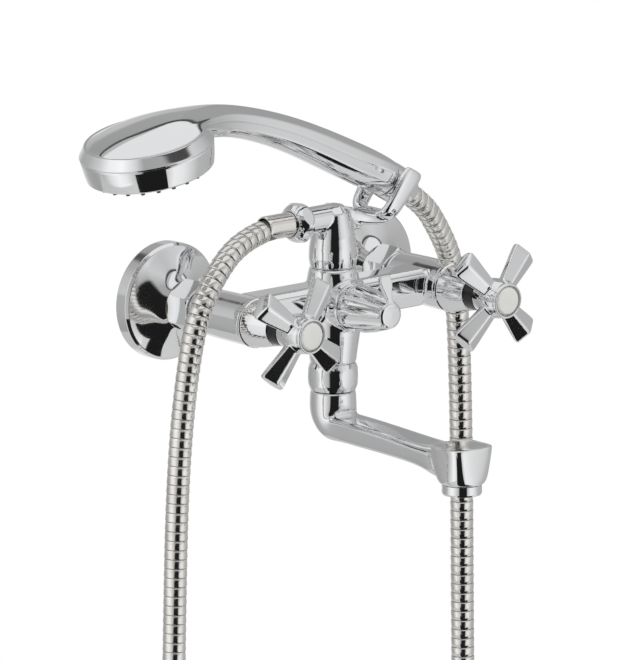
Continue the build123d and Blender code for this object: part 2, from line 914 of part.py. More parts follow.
# Handset: handle and dome in one shell, ring, spray face, nozzles and stem
def make_handset():
    # X, Z, half height and half width of the handle, from its end to the head
    stations = [
        (handle_end[0], handle_end[1], 11.7, 11.7),
        (24.5, 75.6, 12.0, 12.6),
        (9.6, 82.9, 12.0, 13.0),
        (-16.8, 96.0, 11.3, 13.0),
        (-43.2, 107.4, 10.2, 12.6),
        (-67.8, 115.2, 9.6, 13.0),
        (-90.0, 119.2, 9.4, 16.0),
        (-112.0, 119.6, 9.6, 22.0),
        (-134.0, 118.0, 9.0, 27.0),
    ]

    def section(i, shrink):
        x, z, high, wide = stations[i]
        before = stations[max(i - 1, 0)]
        after = stations[min(i + 1, len(stations) - 1)]
        along = Vector(after[0] - before[0], 0, after[1] - before[1])
        if i == 0:
            along = nut_along * -1
        place = Plane(origin=(x, axis_y, z), x_dir=(0, 1, 0), z_dir=along)
        return place * Ellipse(wide - shrink, high - shrink)

    count = len(stations)
    handle = loft([section(i, 0.0) for i in range(count)], ruled=True)
    channel = loft([section(i, handset_wall) for i in range(count)], ruled=True)

    tilt = math.radians(head_tilt)
    down = (math.sin(tilt), 0, -math.cos(tilt))
    origin = (head_centre[0], axis_y, head_centre[1])
    cap = (dome_radius**2 + dome_height**2) / (2 * dome_height)

    def dome(radius, depth):
        """Points of the dome from its rim to its top."""
        reach = math.asin(dome_radius / cap)
        steps = [reach * (1 - i / 8) for i in range(9)]
        offset = cap - dome_height
        return [(radius * math.sin(a), depth + offset - radius * math.cos(a)) for a in steps]

    outside = [(dome_radius, 2.0)] + dome(cap, 0.0)
    shell = turned([(0, 2.0)] + outside, origin, down)
    shell += handle
    inside = [(dome_radius - handset_wall - 1.0, 3.0)] + [
        (max(r - 3.4, 0), h) for r, h in dome(cap - handset_wall, 0.0)
    ]
    shell -= turned([(0, 3.0)] + inside, origin, down)
    shell -= channel
    below = turned(rod(dome_radius + 20, 2.0, 60.0), origin, down)
    shell -= below
    stem_place = (handle_end[0], axis_y, handle_end[1])
    shell -= turned(rod(stem_radius + fit_gap, -stem_in, 2), stem_place, tuple(nut_along))
    nodes["handset_shell"] = shell

    nodes["spray_ring"] = turned(
        [
            (dome_radius - 3.2, 2.0 + fit_gap),
            (dome_radius, 2.0 + fit_gap),
            (ring_radius, 4.2),
            (ring_radius, ring_height - 1.0),
            (ring_radius - 1.2, ring_height),
            (skirt_end_radius, skirt_depth),
            (face_radius + fit_gap, skirt_depth),
            (face_radius + fit_gap, skirt_depth - face_thickness - 2.0),
            (face_radius - 2.0, skirt_depth - face_thickness - 2.0),
            (dome_radius - 4.6, ring_height),
        ],
        origin,
        down,
    )
    face_top = skirt_depth - face_thickness - 2.0 + 1.6
    face = turned(rod(face_radius, face_top, face_top + face_thickness), origin, down)
    place = Plane(origin=origin, x_dir=(0, 1, 0), z_dir=down)
    spots = []
    for radius, number in nozzle_rings:
        for i in range(number):
            angle = math.tau * i / number
            spots.append((radius * math.cos(angle), radius * math.sin(angle)))
    holes = Sketch() + [Pos(x, y) * Circle(nozzle_radius + fit_gap) for x, y in spots]
    face -= place * Pos(0, 0, face_top - 1) * extrude(holes, face_thickness + 2)
    nodes["spray_face"] = face
    mat = turned(rod(face_radius - 0.4, face_top - 1.5, face_top), origin, down)
    nubs = Sketch() + [Pos(x, y) * Circle(nozzle_radius) for x, y in spots]
    mat += place * Pos(0, 0, face_top - 0.5) * extrude(nubs, face_thickness + 0.5 + nozzle_out)
    nodes["spray_nozzles"] = mat
    nodes["handset_stem"] = turned(
        ring(stem_radius - 3.5, stem_radius, -stem_in + fit_gap, stem_out), stem_place, tuple(nut_along)
    )


# Spout with its nut, split collar, seals and aerator
def make_spout():
    nut_top = -centre_bottom - face_gap
    nut_end = nut_top - spout_nut_length
    lip_top = nut_end + spout_nut_lip
    neck_end = -centre_bottom - neck_thread_length
    octagon = prism(8, spout_nut_flats, nut_end, nut_top, 22.5)
    barrel = turned(
        [
            (0, nut_end),
            (spout_nut_radius - 1.8, nut_end),
            (spout_nut_radius - 0.5, nut_end + 3.5),
            (spout_nut_radius, nut_end + spout_nut_length / 2),
            (spout_nut_radius - 0.5, nut_top - 3.5),
            (spout_nut_radius - 1.8, nut_top),
            (0, nut_top),
        ],
        (0, 0, 0),
        (0, 0, 1),
    )
    neck_radius = spout_tube_radius + 0.9
    hole = turned(
        [
            (0, nut_end - 1),
            (neck_radius + run_gap, nut_end - 1),
            (neck_radius + run_gap, lip_top),
            (neck_thread_radius + fit_gap, lip_top),
            (neck_thread_radius + fit_gap, nut_top + 1),
            (0, nut_top + 1),
        ],
        (0, 0, 0),
        (0, 0, 1),
    )
    nodes["spout_nut"] = Pos(0, axis_y, 0) * ((octagon & barrel) - hole)

    collar_low = lip_top + face_gap
    collar_top = collar_low + collar_height
    tube_top = neck_end + spout_tube_in
    shoulder = nut_end - face_gap
    bottom = -(spout_top + spout_arm_height)
    ring_groove = [neck_end + 1.6, neck_end + 4.4]
    tube = [
        (0, bottom),
        (6.0, bottom),
        (11.0, bottom + 2.5),
        (spout_drop_radius, bottom + 8.0),
        (spout_drop_radius + 0.3, -spout_top),
        (spout_drop_radius - 0.4, shoulder),
        (neck_radius, shoulder),
        (neck_radius, collar_low),
        (neck_radius - 1.2, collar_low),
        (neck_radius - 1.2, collar_top),
        (spout_tube_radius, collar_top),
    ]
    for low in ring_groove:
        tube += [
            (spout_tube_radius, low),
            (spout_tube_radius - 1.2, low),
            (spout_tube_radius - 1.2, low + 1.6),
            (spout_tube_radius, low + 1.6),
        ]
    tube += [(spout_tube_radius, tube_top), (0, tube_top)]
    spout = upright(0, axis_y, tube)

    arm_end = aerator_out - 2.0
    half = spout_arm_width / 2
    section = Polyline(
        (-half, -spout_top),
        (half, -spout_top),
        (half, bottom + 4.0),
        (half - 3.5, bottom),
        (-half + 3.5, bottom),
        (-half, bottom + 4.0),
        close=True,
    )
    across = Plane(origin=(0, axis_y, 0), x_dir=(1, 0, 0), z_dir=(0, -1, 0))
    spout += extrude(across * make_face(section), arm_end - body_out)
    head_back = head_front - head_length
    top = Pos(0, -(head_front + head_back) / 2, -spout_top) * RectangleRounded(
        head_width, head_length, 5.0
    )
    belly = head_bottom_radius + 1.5
    low = Pos(0, -aerator_out, -head_bottom + 2) * RectangleRounded(2 * belly, 2 * belly, belly - 0.2)
    foot = Pos(0, -aerator_out, -head_bottom) * RectangleRounded(
        2 * head_bottom_radius, 2 * head_bottom_radius, head_bottom_radius - 0.2
    )
    spout += loft([top, low], ruled=True)
    spout += loft([low, foot], ruled=True)

    spout -= upright(0, axis_y, rod(spout_tube_radius - 3.0, -(spout_top + 6), tube_top + 1))
    channel = Pos(0, -(body_out + aerator_out) / 2, -(spout_top + 6.5)) * Box(
        16.0, aerator_out - body_out, 8.0
    )
    spout -= channel
    socket_top = -head_bottom + aerator_thread_length + 1.6
    spout -= upright(0, -aerator_out, rod(9.4, -(spout_top + 6), -(spout_top + 6) - 1))
    spout -= upright(0, -aerator_out, rod(9.4, socket_top - 1, -(spout_top + 4)))
    spout -= upright(0, -aerator_out, rod(aerator_thread_radius + fit_gap, -head_bottom - 1, socket_top))
    nodes["spout"] = spout

    collar = upright(0, axis_y, ring(neck_radius - 1.2 + fit_gap, collar_radius, collar_low, collar_top))
    split = Pos(0, axis_y - 10, (collar_low + collar_top) / 2) * Box(1.6, 10, 8)
    nodes["spout_collar"] = collar - split
    seal_bore = spout_tube_radius - 1.2 + fit_gap
    seal_radius = spout_tube_radius + 0.02
    rings = [
        upright(0, axis_y, ring(seal_bore, seal_radius, low + 0.05, low + 1.55))
        for low in ring_groove
    ]
    nodes["spout_seals"] = Compound(children=[r.solids()[0] for r in rings])

    y = -aerator_out
    ring_top = -head_bottom - fit_gap
    thread_top = -head_bottom + aerator_thread_length
    housing = upright(
        0,
        y,
        [
            (aerator_bore, ring_top - aerator_height),
            (aerator_radius - 0.5, ring_top - aerator_height),
            (aerator_radius, ring_top - aerator_height + 0.5),
            (aerator_radius, ring_top),
            (aerator_thread_radius, ring_top),
            (aerator_thread_radius, thread_top),
            (aerator_bore, thread_top),
        ],
    )
    notch = Pos(-aerator_radius * 0.7, y - aerator_radius * 0.7, ring_top - 4.6) * Rot(0, 0, 45)
    housing -= notch * Box(2.0, 3.0, 2.4)
    nodes["aerator_housing"] = housing
    insert = upright(0, y, rod(aerator_bore - fit_gap, ring_top - aerator_height + 1.2, thread_top))
    cell = 2.6
    holes = Sketch()
    for i in range(-2, 3):
        for j in range(-2, 3):
            if math.hypot(i, j) <= 2.5:
                holes += Pos(i * cell, j * cell) * Rectangle(cell - 0.7, cell - 0.7)
    holes_at = Plane(origin=(0, y, ring_top - aerator_height))
    insert -= extrude(holes_at * holes, 40)
    nodes["aerator_insert"] = insert
    nodes["aerator_washer"] = upright(0, y, ring(7.6, aerator_thread_radius - 0.2, thread_top, socket_top))


for side, x in (("left", -valve_x), ("right", valve_x)):
    make_inlet(side, x)
    make_valve(side, x)
make_body()
make_handle("handle_hot", "hot", -valve_x, arm_angles_left)
make_handle("handle_cold", "cold", valve_x, arm_angles_right)
make_diverter()
make_column()
make_outlet_end()
make_handset_end()
make_handset()
make_spout()
make_hose()

os.makedirs("parts", exist_ok=True)
for name, shape in nodes.items():
    solids = shape.solids()
    volume = round(sum(s.volume for s in solids) / 1000, 2)
    print(name, len(solids), volume, "cm3", all(s.is_valid for s in solids))
    export_step(solids[0] if len(solids) == 1 else Compound(children=list(solids)), f"parts/{name}.step")
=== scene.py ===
import json
import math

import bmesh
import bpy
from mathutils import Matrix, Vector


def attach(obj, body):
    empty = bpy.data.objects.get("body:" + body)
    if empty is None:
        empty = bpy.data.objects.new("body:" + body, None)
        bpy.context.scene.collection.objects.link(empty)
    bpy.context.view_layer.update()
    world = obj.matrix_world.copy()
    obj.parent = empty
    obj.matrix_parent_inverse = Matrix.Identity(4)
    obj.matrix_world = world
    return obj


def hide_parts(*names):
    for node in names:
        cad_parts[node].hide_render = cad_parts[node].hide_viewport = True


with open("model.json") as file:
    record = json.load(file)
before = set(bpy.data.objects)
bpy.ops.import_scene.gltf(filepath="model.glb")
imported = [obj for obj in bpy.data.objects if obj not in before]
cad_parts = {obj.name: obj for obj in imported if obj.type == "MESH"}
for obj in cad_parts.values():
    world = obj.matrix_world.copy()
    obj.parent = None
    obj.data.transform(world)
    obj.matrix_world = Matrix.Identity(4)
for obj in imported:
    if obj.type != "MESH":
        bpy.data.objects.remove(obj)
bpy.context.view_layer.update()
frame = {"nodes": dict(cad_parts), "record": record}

nodes = frame["nodes"]
scene = bpy.context.scene
scene.view_settings.view_transform = "Standard"

weldDistance = 0.000002  # in metres: points nearer than this are one
flatAngle = math.radians(0.8)  # facets that meet at less than this are joined
ringCount = 24  # places round a rounded section
noCreases = [0.0] * ringCount
fineSteps = 64  # round the wide turned parts
bodyY = -66.0  # the body's axis in front of the wall, in millimetres
towardRoom, upright = (0, -1, 0), (0, 0, 1)
print("frame loaded,", len(nodes), "nodes")


# Helpers: measures and meshes
def place3(x, y, z):  # millimetres to metres
    return Vector((x, y, z)) / 1000


def inMetres(outline):
    return [(radius / 1000, along / 1000, corner / 1000) for radius, along, corner in outline]


def finishMesh(bm, name, sharpAngle=32.0):  # smooth shading with the crisp edges kept
    mesh = bpy.data.meshes.new(name)
    for face in bm.faces:
        face.smooth = True
    for edge in bm.edges:
        edge.smooth = edge.calc_face_angle(0.0) < math.radians(sharpAngle)
    bm.to_mesh(mesh)
    bm.free()
    return mesh


def meshBack(mesh):
    bm = bmesh.new()
    bm.from_mesh(mesh)
    bpy.data.meshes.remove(mesh)
    return bm


def nodeCopy(nodeName):  # a CAD node's triangles, joined up into one skin
    bm = bmesh.new()
    bm.from_mesh(nodes[nodeName].data)
    bmesh.ops.remove_doubles(bm, verts=bm.verts, dist=weldDistance)
    return bm


def flatCopy(nodeName):  # the same, with its flat facets joined too
    bm = nodeCopy(nodeName)
    bmesh.ops.dissolve_limit(bm, angle_limit=flatAngle, verts=bm.verts, edges=bm.edges)
    return bm


def gather(bm, other):  # adds another shape's skin
    mesh = bpy.data.meshes.new("part")
    other.to_mesh(mesh)
    other.free()
    bm.from_mesh(mesh)
    bpy.data.meshes.remove(mesh)
    return bm


def settle(name, bm, changes):  # runs the named modifiers and gives the finished mesh
    rough = bpy.data.meshes.new(name)
    bm.to_mesh(rough)
    bm.free()
    holder = bpy.data.objects.new(name, rough)
    scene.collection.objects.link(holder)
    for kind, settings in changes:
        modifier = holder.modifiers.new(kind, kind)
        for setting, value in settings.items():
            setattr(modifier, setting, value)
    seen = holder.evaluated_get(bpy.context.evaluated_depsgraph_get())
    mesh = bpy.data.meshes.new_from_object(seen)
    mesh.name = name
    bpy.data.objects.remove(holder)
    bpy.data.meshes.remove(rough)
    mesh.materials.clear()
    return mesh


def smoothed(bm, levels):
    return meshBack(settle("smoothed", bm, [("SUBSURF", {"levels": levels, "render_levels": levels})]))


def fused(bm, other, operation):  # joins or cuts with another closed shape
    tool = bpy.data.meshes.new("tool")
    other.to_mesh(tool)
    other.free()
    holder = bpy.data.objects.new("tool", tool)
    scene.collection.objects.link(holder)
    mesh = settle("fused", bm, [("BOOLEAN", {"object": holder, "operation": operation, "solver": "EXACT"})])
    bpy.data.objects.remove(holder)
    bpy.data.meshes.remove(tool)
    return meshBack(mesh)


# Helpers: sections, lofts and turned shapes
def roundRect(wide, high, power):  # a rounded rectangle as places across and up
    places = []
    for step in range(ringCount):
        angle = 2 * math.pi * step / ringCount
        across, up = math.cos(angle), math.sin(angle)
        places.append((math.copysign(abs(across) ** (2 / power), across) * wide,
                       math.copysign(abs(up) ** (2 / power), up) * high))
    return places


def ringAt(centre, across, upward, places):  # places in mm laid out in space, in metres
    return [(Vector(centre) + Vector(across) * side + Vector(upward) * high) / 1000 for side, high in places]


def ringCreases(section):  # the creases of a half section, taken on round its other half
    creases = [crease for _, _, crease in section]
    return creases + list(reversed(creases[1:-1]))


def stepVert(vert, fresh):  # the new vertex that an extrusion put beside this one
    return next(edge.other_vert(vert) for edge in vert.link_edges if edge.other_vert(vert) in fresh)


def sectionLoft(rings, creases, levels):  # rings of places, extruded one after another, then smoothed
    bm = bmesh.new()
    layer = bm.edges.layers.float.new("crease_edge")
    ring = [bm.verts.new(place) for place in rings[0]]
    loop = [bm.edges.new((a, b)) for a, b in zip(ring, ring[1:] + ring[:1])]
    firstLoop = loop
    for places in rings[1:]:
        made = bmesh.ops.extrude_edge_only(bm, edges=loop)["geom"]
        fresh = {part for part in made if isinstance(part, bmesh.types.BMVert)}
        after = [stepVert(vert, fresh) for vert in ring]
        for number, (vert, place) in enumerate(zip(after, places)):
            vert.co = place
            bm.edges.get((ring[number], vert))[layer] = creases[number]
        loop = [bm.edges.get((a, b)) for a, b in zip(after, after[1:] + after[:1])]
        ring = after
    bmesh.ops.edgeloop_fill(bm, edges=firstLoop)
    bmesh.ops.edgeloop_fill(bm, edges=loop)
    bmesh.ops.recalc_face_normals(bm, faces=bm.faces)
    return smoothed(bm, levels)


def lathe(outline, origin, axis, steps=48, levels=2):  # outline of (radius, along, corner), spun about a line
    origin, axis = Vector(origin), Vector(axis).normalized()
    side = axis.orthogonal().normalized()
    spots = [Vector((radius, along)) for radius, along, _ in outline]
    closed = outline[0][0] > 0 or outline[-1][0] > 0
    path = []
    for number, (_, _, corner) in enumerate(outline):
        here = spots[number]
        before, after = spots[number - 1], spots[(number + 1) % len(spots)]
        if corner:  # a point close on each side keeps the edge crisp
            path += [here + (before - here).normalized() * corner, here,
                     here + (after - here).normalized() * corner]
        else:
            path.append(here)
    bm = bmesh.new()
    line = [bm.verts.new(origin + side * spot.x + axis * spot.y) for spot in path]
    ends = line[1:] + line[:1] if closed else line[1:]
    edges = [bm.edges.new((a, b)) for a, b in zip(line, ends)]
    bmesh.ops.spin(bm, geom=line + edges, cent=origin, axis=axis, dvec=(0, 0, 0), angle=2 * math.pi,
                   steps=steps, use_merge=True, use_duplicate=False)
    bmesh.ops.remove_doubles(bm, verts=bm.verts, dist=weldDistance)
    bmesh.ops.recalc_face_normals(bm, faces=bm.faces)
    return smoothed(bm, levels) if levels else bm


# Helpers: finished pieces in the place of CAD nodes
def linkPiece(name, mesh, body, materials):
    piece = bpy.data.objects.new(name, mesh)
    scene.collection.objects.link(piece)
    for material in materials:
        mesh.materials.append(material)
    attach(piece, body)
    return piece


def swapIn(nodeName, body, pieceName, material, mesh):  # a new piece in a CAD node's place
    piece = linkPiece(pieceName, mesh, body, [material])
    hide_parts(nodeName)
    return piece


def softCast(nodeName, body, pieceName, voxel, rounds, bm=None):  # a casting, its corners run together
    changes = [
        ("REMESH", {"mode": "VOXEL", "voxel_size": voxel, "use_smooth_shade": True}),
        ("SMOOTH", {"factor": 0.5, "iterations": rounds}),
    ]
    swapIn(nodeName, body, pieceName, chrome, settle(pieceName, bm or nodeCopy(nodeName), changes))


def plainPart(nodeName, body, pieceName):  # a nut whose flats stay as they are drawn
    mesh = finishMesh(flatCopy(nodeName), pieceName, sharpAngle=24.0)
    return swapIn(nodeName, body, pieceName, chrome, mesh)


def turnedPart(nodeName, body, pieceName, material, outline, origin, axis, steps=48):
    mesh = finishMesh(lathe(inMetres(outline), place3(*origin), axis, steps), pieceName, sharpAngle=40.0)
    return swapIn(nodeName, body, pieceName, material, mesh)


def crispPart(nodeName, body, pieceName, material, facts):  # a cut part with its edges broken
    bm = flatCopy(nodeName)
    for face in bm.faces:
        face.smooth = True
    changes = [
        ("BEVEL", {"width": facts["fine"], "segments": facts["fineSegments"], "limit_method": "ANGLE",
                   "angle_limit": math.radians(facts["fineAngle"]), "use_clamp_overlap": False,
                   "miter_outer": "MITER_ARC"}),
        ("WEIGHTED_NORMAL", {"keep_sharp": False, "weight": facts["normalWeight"]}),
    ]
    swapIn(nodeName, body, pieceName, material, settle(pieceName, bm, changes))


# Materials
def startMaterial(name, color, metallic, roughness):
    material = bpy.data.materials.new(name)
    material.use_nodes = True
    tree = material.node_tree
    shader = tree.nodes["Principled BSDF"]
    shader.inputs["Base Color"].default_value = (*color, 1)
    shader.inputs["Metallic"].default_value = metallic
    shader.inputs["Roughness"].default_value = roughness
    where = tree.nodes.new("ShaderNodeTexCoord")
    return material, tree, shader, where


def mottle(tree, where, scale, detail=3.0, stretch=(1, 1, 1)):  # noise over the piece's own coordinates
    place = tree.nodes.new("ShaderNodeMapping")
    place.inputs["Scale"].default_value = stretch
    noise = tree.nodes.new("ShaderNodeTexNoise")
    noise.inputs["Scale"].default_value = scale
    noise.inputs["Detail"].default_value = detail
    tree.links.new(where.outputs["Object"], place.inputs["Vector"])
    tree.links.new(place.outputs["Vector"], noise.inputs["Vector"])
    return noise.outputs["Fac"]


def spread(tree, value, low, high, fromLow=0.3, fromHigh=0.7):  # noise to a narrow range
    span = tree.nodes.new("ShaderNodeMapRange")
    span.inputs["From Min"].default_value = fromLow
    span.inputs["From Max"].default_value = fromHigh
    span.inputs["To Min"].default_value = low
    span.inputs["To Max"].default_value = high
    tree.links.new(value, span.inputs["Value"])
    return span.outputs["Result"]


def ripple(tree, shader, height, distance, strength):
    bump = tree.nodes.new("ShaderNodeBump")
    bump.inputs["Distance"].default_value = distance
    bump.inputs["Strength"].default_value = strength
    tree.links.new(height, bump.inputs["Height"])
    tree.links.new(bump.outputs["Normal"], shader.inputs["Normal"])


def tintBetween(tree, shader, value, dark, light):
    ramp = tree.nodes.new("ShaderNodeValToRGB")
    for stop, at, color in zip(ramp.color_ramp.elements, (0.3, 0.7), (dark, light)):
        stop.position = at
        stop.color = (*color, 1)
    tree.links.new(value, ramp.inputs["Fac"])
    tree.links.new(ramp.outputs["Color"], shader.inputs["Base Color"])


chromeLook = {
    "color": (0.875, 0.88, 0.89), "roughLow": 0.035, "roughHigh": 0.075, "patchScale": 26.0,
    "waveScale": 160.0, "waveDepth": 0.00002, "waveStrength": 0.25,  # faint waviness of polished casting
}
hoseLook = {
    "color": (0.90, 0.885, 0.855), "shade": (0.81, 0.795, 0.76), "patchScale": 90.0,
    "roughLow": 0.10, "roughHigh": 0.18, "grainScale": 420.0, "grainDepth": 0.00003, "grainStrength": 0.35,
}
brassLook = {
    "color": (0.72, 0.53, 0.26), "shade": (0.58, 0.40, 0.18), "patchScale": 70.0, "roughness": 0.28,
    "markScale": 200.0, "markStretch": (1, 6, 1), "markDepth": 0.00004, "markStrength": 0.4,  # turning marks
}


def chromeMaterial(name, look):
    material, tree, shader, where = startMaterial(name, look["color"], 1.0, 0.05)
    patches = mottle(tree, where, look["patchScale"])
    tree.links.new(spread(tree, patches, look["roughLow"], look["roughHigh"]), shader.inputs["Roughness"])
    waves = mottle(tree, where, look["waveScale"], 1.0)
    ripple(tree, shader, waves, look["waveDepth"], look["waveStrength"])
    return material


def hoseMaterial(name, look):
    material, tree, shader, where = startMaterial(name, look["color"], 1.0, 0.18)
    tintBetween(tree, shader, mottle(tree, where, look["patchScale"]), look["shade"], look["color"])
    grain = mottle(tree, where, look["grainScale"], 2.0)
    tree.links.new(spread(tree, grain, look["roughLow"], look["roughHigh"]), shader.inputs["Roughness"])
    ripple(tree, shader, grain, look["grainDepth"], look["grainStrength"])
    return material


def brassMaterial(name, look):
    material, tree, shader, where = startMaterial(name, look["color"], 1.0, look["roughness"])
    tintBetween(tree, shader, mottle(tree, where, look["patchScale"]), look["shade"], look["color"])
    marks = mottle(tree, where, look["markScale"], 2.0, look["markStretch"])
    ripple(tree, shader, marks, look["markDepth"], look["markStrength"])
    return material


def plainMaterial(name, color, shade, roughness, grainScale, grainDepth, metallic=0.0):
    material, tree, shader, where = startMaterial(name, color, metallic, roughness)
    patches = mottle(tree, where, grainScale * 0.2)  # wider than the grain
    tintBetween(tree, shader, patches, shade, color)
    ripple(tree, shader, mottle(tree, where, grainScale, 2.0), grainDepth, 0.4)
    return material


chrome = chromeMaterial("chromePlate", chromeLook)
hoseSteel = hoseMaterial("hoseStrip", hoseLook)
brass = brassMaterial("turnedBrass", brassLook)
# colour, colour of the darker patches, roughness, the grain's scale and depth; the first is painted shade, a
# dark steel that stands for the shade in the hose's grooves
paintedGrooveShade = plainMaterial("paintedGrooveShade", (0.30, 0.29, 0.27), (0.20, 0.19, 0.175), 0.4, 500.0, 0.00002, 0.8)
steel = plainMaterial("screwSteel", (0.6, 0.6, 0.6), (0.5, 0.5, 0.5), 0.3, 400.0, 0.00002, 1.0)
rubber = plainMaterial("blackRubber", (0.035, 0.035, 0.035), (0.02, 0.02, 0.02), 0.7, 700.0, 0.00005)
greyRubber = plainMaterial("nozzleRubber", (0.13, 0.135, 0.14), (0.09, 0.09, 0.095), 0.55, 700.0, 0.00004)
# near-black, used for the sleeve in the dark band at each bell's neck
nearBlack = plainMaterial("sleeveBlack", (0.016, 0.016, 0.017), (0.010, 0.010, 0.011), 0.22, 500.0, 0.00001)
whitePlastic = plainMaterial("buttonWhite", (0.84, 0.835, 0.81), (0.80, 0.795, 0.77), 0.16, 300.0, 0.00001)
ceramic = plainMaterial("discCeramic", (0.86, 0.84, 0.78), (0.80, 0.78, 0.72), 0.12, 300.0, 0.00001)

slotMaterials = {
    "chrome": chrome, "brass": brass, "steel": steel, "hose_steel": hoseSteel, "rubber": rubber,
    "grey_rubber": greyRubber, "black_plastic": nearBlack, "white_plastic": whitePlastic, "ceramic": ceramic,
}
for subpart in frame["record"]["subparts"]:
    for slot in nodes[subpart["node"]].material_slots:
        slot.material = slotMaterials[subpart["material_slot"]]
print("materials set on the nodes")


# Camera, at the photograph's angle, almost without perspective
cameraFacts = {
    "target": Vector((0.0, -0.060, 0.0)), "distance": 15.0, "azimuth": -40.36, "elevation": 12.36,
    "pixelsPerMetre": 1713.4, "width": 630, "height": 660, "targetPixel": (326.3, 297.85), "sensor": 36,
}


def makeCamera(facts):
    turn, lift = math.radians(facts["azimuth"]), math.radians(facts["elevation"])
    back = Vector((math.sin(turn) * math.cos(lift), -math.cos(turn) * math.cos(lift), math.sin(lift)))
    right = Vector((math.cos(turn), math.sin(turn), 0))
    up = back.cross(right)
    offRight = (facts["targetPixel"][0] - facts["width"] / 2) / facts["pixelsPerMetre"]
    offDown = (facts["targetPixel"][1] - facts["height"] / 2) / facts["pixelsPerMetre"]
    camera = bpy.data.objects.new("camera", bpy.data.cameras.new("camera"))
    camera.matrix_world = Matrix((right, up, back)).transposed().to_4x4()
    camera.location = facts["target"] + back * facts["distance"] - right * offRight + up * offDown
    camera.data.sensor_width = facts["sensor"]
    camera.data.lens = facts["pixelsPerMetre"] * facts["distance"] * facts["sensor"] / facts["height"]
    camera.data.clip_start, camera.data.clip_end = 0.5, 100
    scene.collection.objects.link(camera)
    scene.camera = camera
    return back, right


cameraBack, cameraRight = makeCamera(cameraFacts)
print("camera placed")


# Hose: the points of its route, then a ribbed tube along the spline
hoseFacts = {  # in metres; band gives the share of the pitch and the drop below the crest
    "length": 1.4505, "crest": 0.0069, "groove": 0.0062, "pitch": 0.0055, "sides": 32,
    "band": ((0.00, -0.0005), (0.06, -0.0005), (0.10, -0.00030), (0.50, -0.00014), (0.90, 0.0),
             (0.96, -0.0001)),
    "plainStart": 0.0198, "plainEnd": 0.0138,
}
hoseRoute = [
    (-0.0334, -0.0660, 0.0495), (-0.0668, -0.0660, 0.0495), (-0.1023, -0.0715, 0.0203),
    (-0.1150, -0.0720, -0.0166), (-0.1237, -0.0720, -0.0835), (-0.1266, -0.0720, -0.1900),
    (-0.1278, -0.0710, -0.3350), (-0.1265, -0.0695, -0.4790), (-0.0840, -0.0670, -0.5455),
    (-0.0090, -0.0640, -0.5710), (0.0650, -0.0605, -0.5475), (0.1090, -0.0580, -0.4840),
    (0.1096, -0.0570, -0.3800), (0.1092, -0.0560, -0.2750), (0.1083, -0.0560, -0.1850),
    (0.1076, -0.0560, -0.1120), (0.1063, -0.0560, -0.0580), (0.1034, -0.0570, -0.0200),
    (0.0966, -0.0600, 0.0090), (0.0823, -0.0640, 0.0314), (0.06767, -0.0660, 0.04981),
    (0.04599, -0.0660, 0.06304),
]


def splineLine(route):  # the smooth line of the route, as points
    curve = bpy.data.curves.new("hoseLine", "CURVE")
    curve.dimensions = "3D"
    spline = curve.splines.new("NURBS")
    spline.points.add(len(route) - 1)
    for point, place in zip(spline.points, route):
        point.co = (*place, 1)
    spline.order_u = 3
    spline.use_endpoint_u = True
    spline.resolution_u = 24
    holder = bpy.data.objects.new("hoseLine", curve)
    mesh = bpy.data.meshes.new_from_object(holder)
    line = [vertex.co.copy() for vertex in mesh.vertices]
    bpy.data.objects.remove(holder)
    bpy.data.meshes.remove(mesh)
    bpy.data.curves.remove(curve)
    return line


def hoseStations(facts, total):  # distance along, radius and material of each ring, where the second material is the painted groove shade
    ribbed = total - facts["plainStart"] - facts["plainEnd"]
    ribs = round(ribbed / facts["pitch"])
    pitch = ribbed / ribs
    # the plain lengths at both ends get the painted groove shade as well
    stations = [(0.0, facts["groove"], 1)]
    for rib in range(ribs):
        for part, (at, drop) in enumerate(facts["band"]):
            dark = 1 if part == 0 else 0  # the groove between two bands, given the painted shade material
            stations.append((facts["plainStart"] + (rib + at) * pitch, facts["crest"] + drop, dark))
    stations.append((total - facts["plainEnd"], facts["groove"], 1))
    stations.append((total, facts["groove"], 1))
    return stations, ribs


def makeHose(facts, route):
    line = splineLine(route)
    along = [0.0]
    for a, b in zip(line, line[1:]):
        along.append(along[-1] + (b - a).length)
    stations, ribs = hoseStations(facts, along[-1])
    bm = bmesh.new()
    rings, index = [], 0
    for distance, radius, _ in stations:
        while index < len(line) - 2 and along[index + 1] < distance:
            index += 1
        share = (distance - along[index]) / (along[index + 1] - along[index])
        centre = line[index].lerp(line[index + 1], share)
        before, after = line[max(index - 1, 0)], line[min(index + 2, len(line) - 1)]
        leaving, coming = (line[index + 1] - before).normalized(), (after - line[index]).normalized()
        heading = leaving.lerp(coming, share).normalized()
        sideways = (Vector((0, 1, 0)) - heading * heading.y).normalized()
        across = heading.cross(sideways)
        ring = []
        for side in range(facts["sides"]):
            angle = 2 * math.pi * side / facts["sides"]
            offset = sideways * math.cos(angle) + across * math.sin(angle)
            ring.append(bm.verts.new(centre + offset * radius))
        rings.append(ring)
    for number, (first, second) in enumerate(zip(rings, rings[1:])):
        for side in range(facts["sides"]):
            turn = (side + 1) % facts["sides"]
            face = bm.faces.new((first[side], first[turn], second[turn], second[side]))
            # rings marked 1 take the painted groove shade
            face.material_index = stations[number][2]
    bm.faces.new(reversed(rings[0]))
    bm.faces.new(rings[-1])
    bmesh.ops.recalc_face_normals(bm, faces=bm.faces)
    mesh = finishMesh(bm, "ribbedHose", 50.0)
    hose = linkPiece("ribbedHose", mesh, "mixer", [hoseSteel, paintedGrooveShade])
    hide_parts("hose")
    print("hose made,", ribs, "ribs,", round(along[-1], 4), "m")


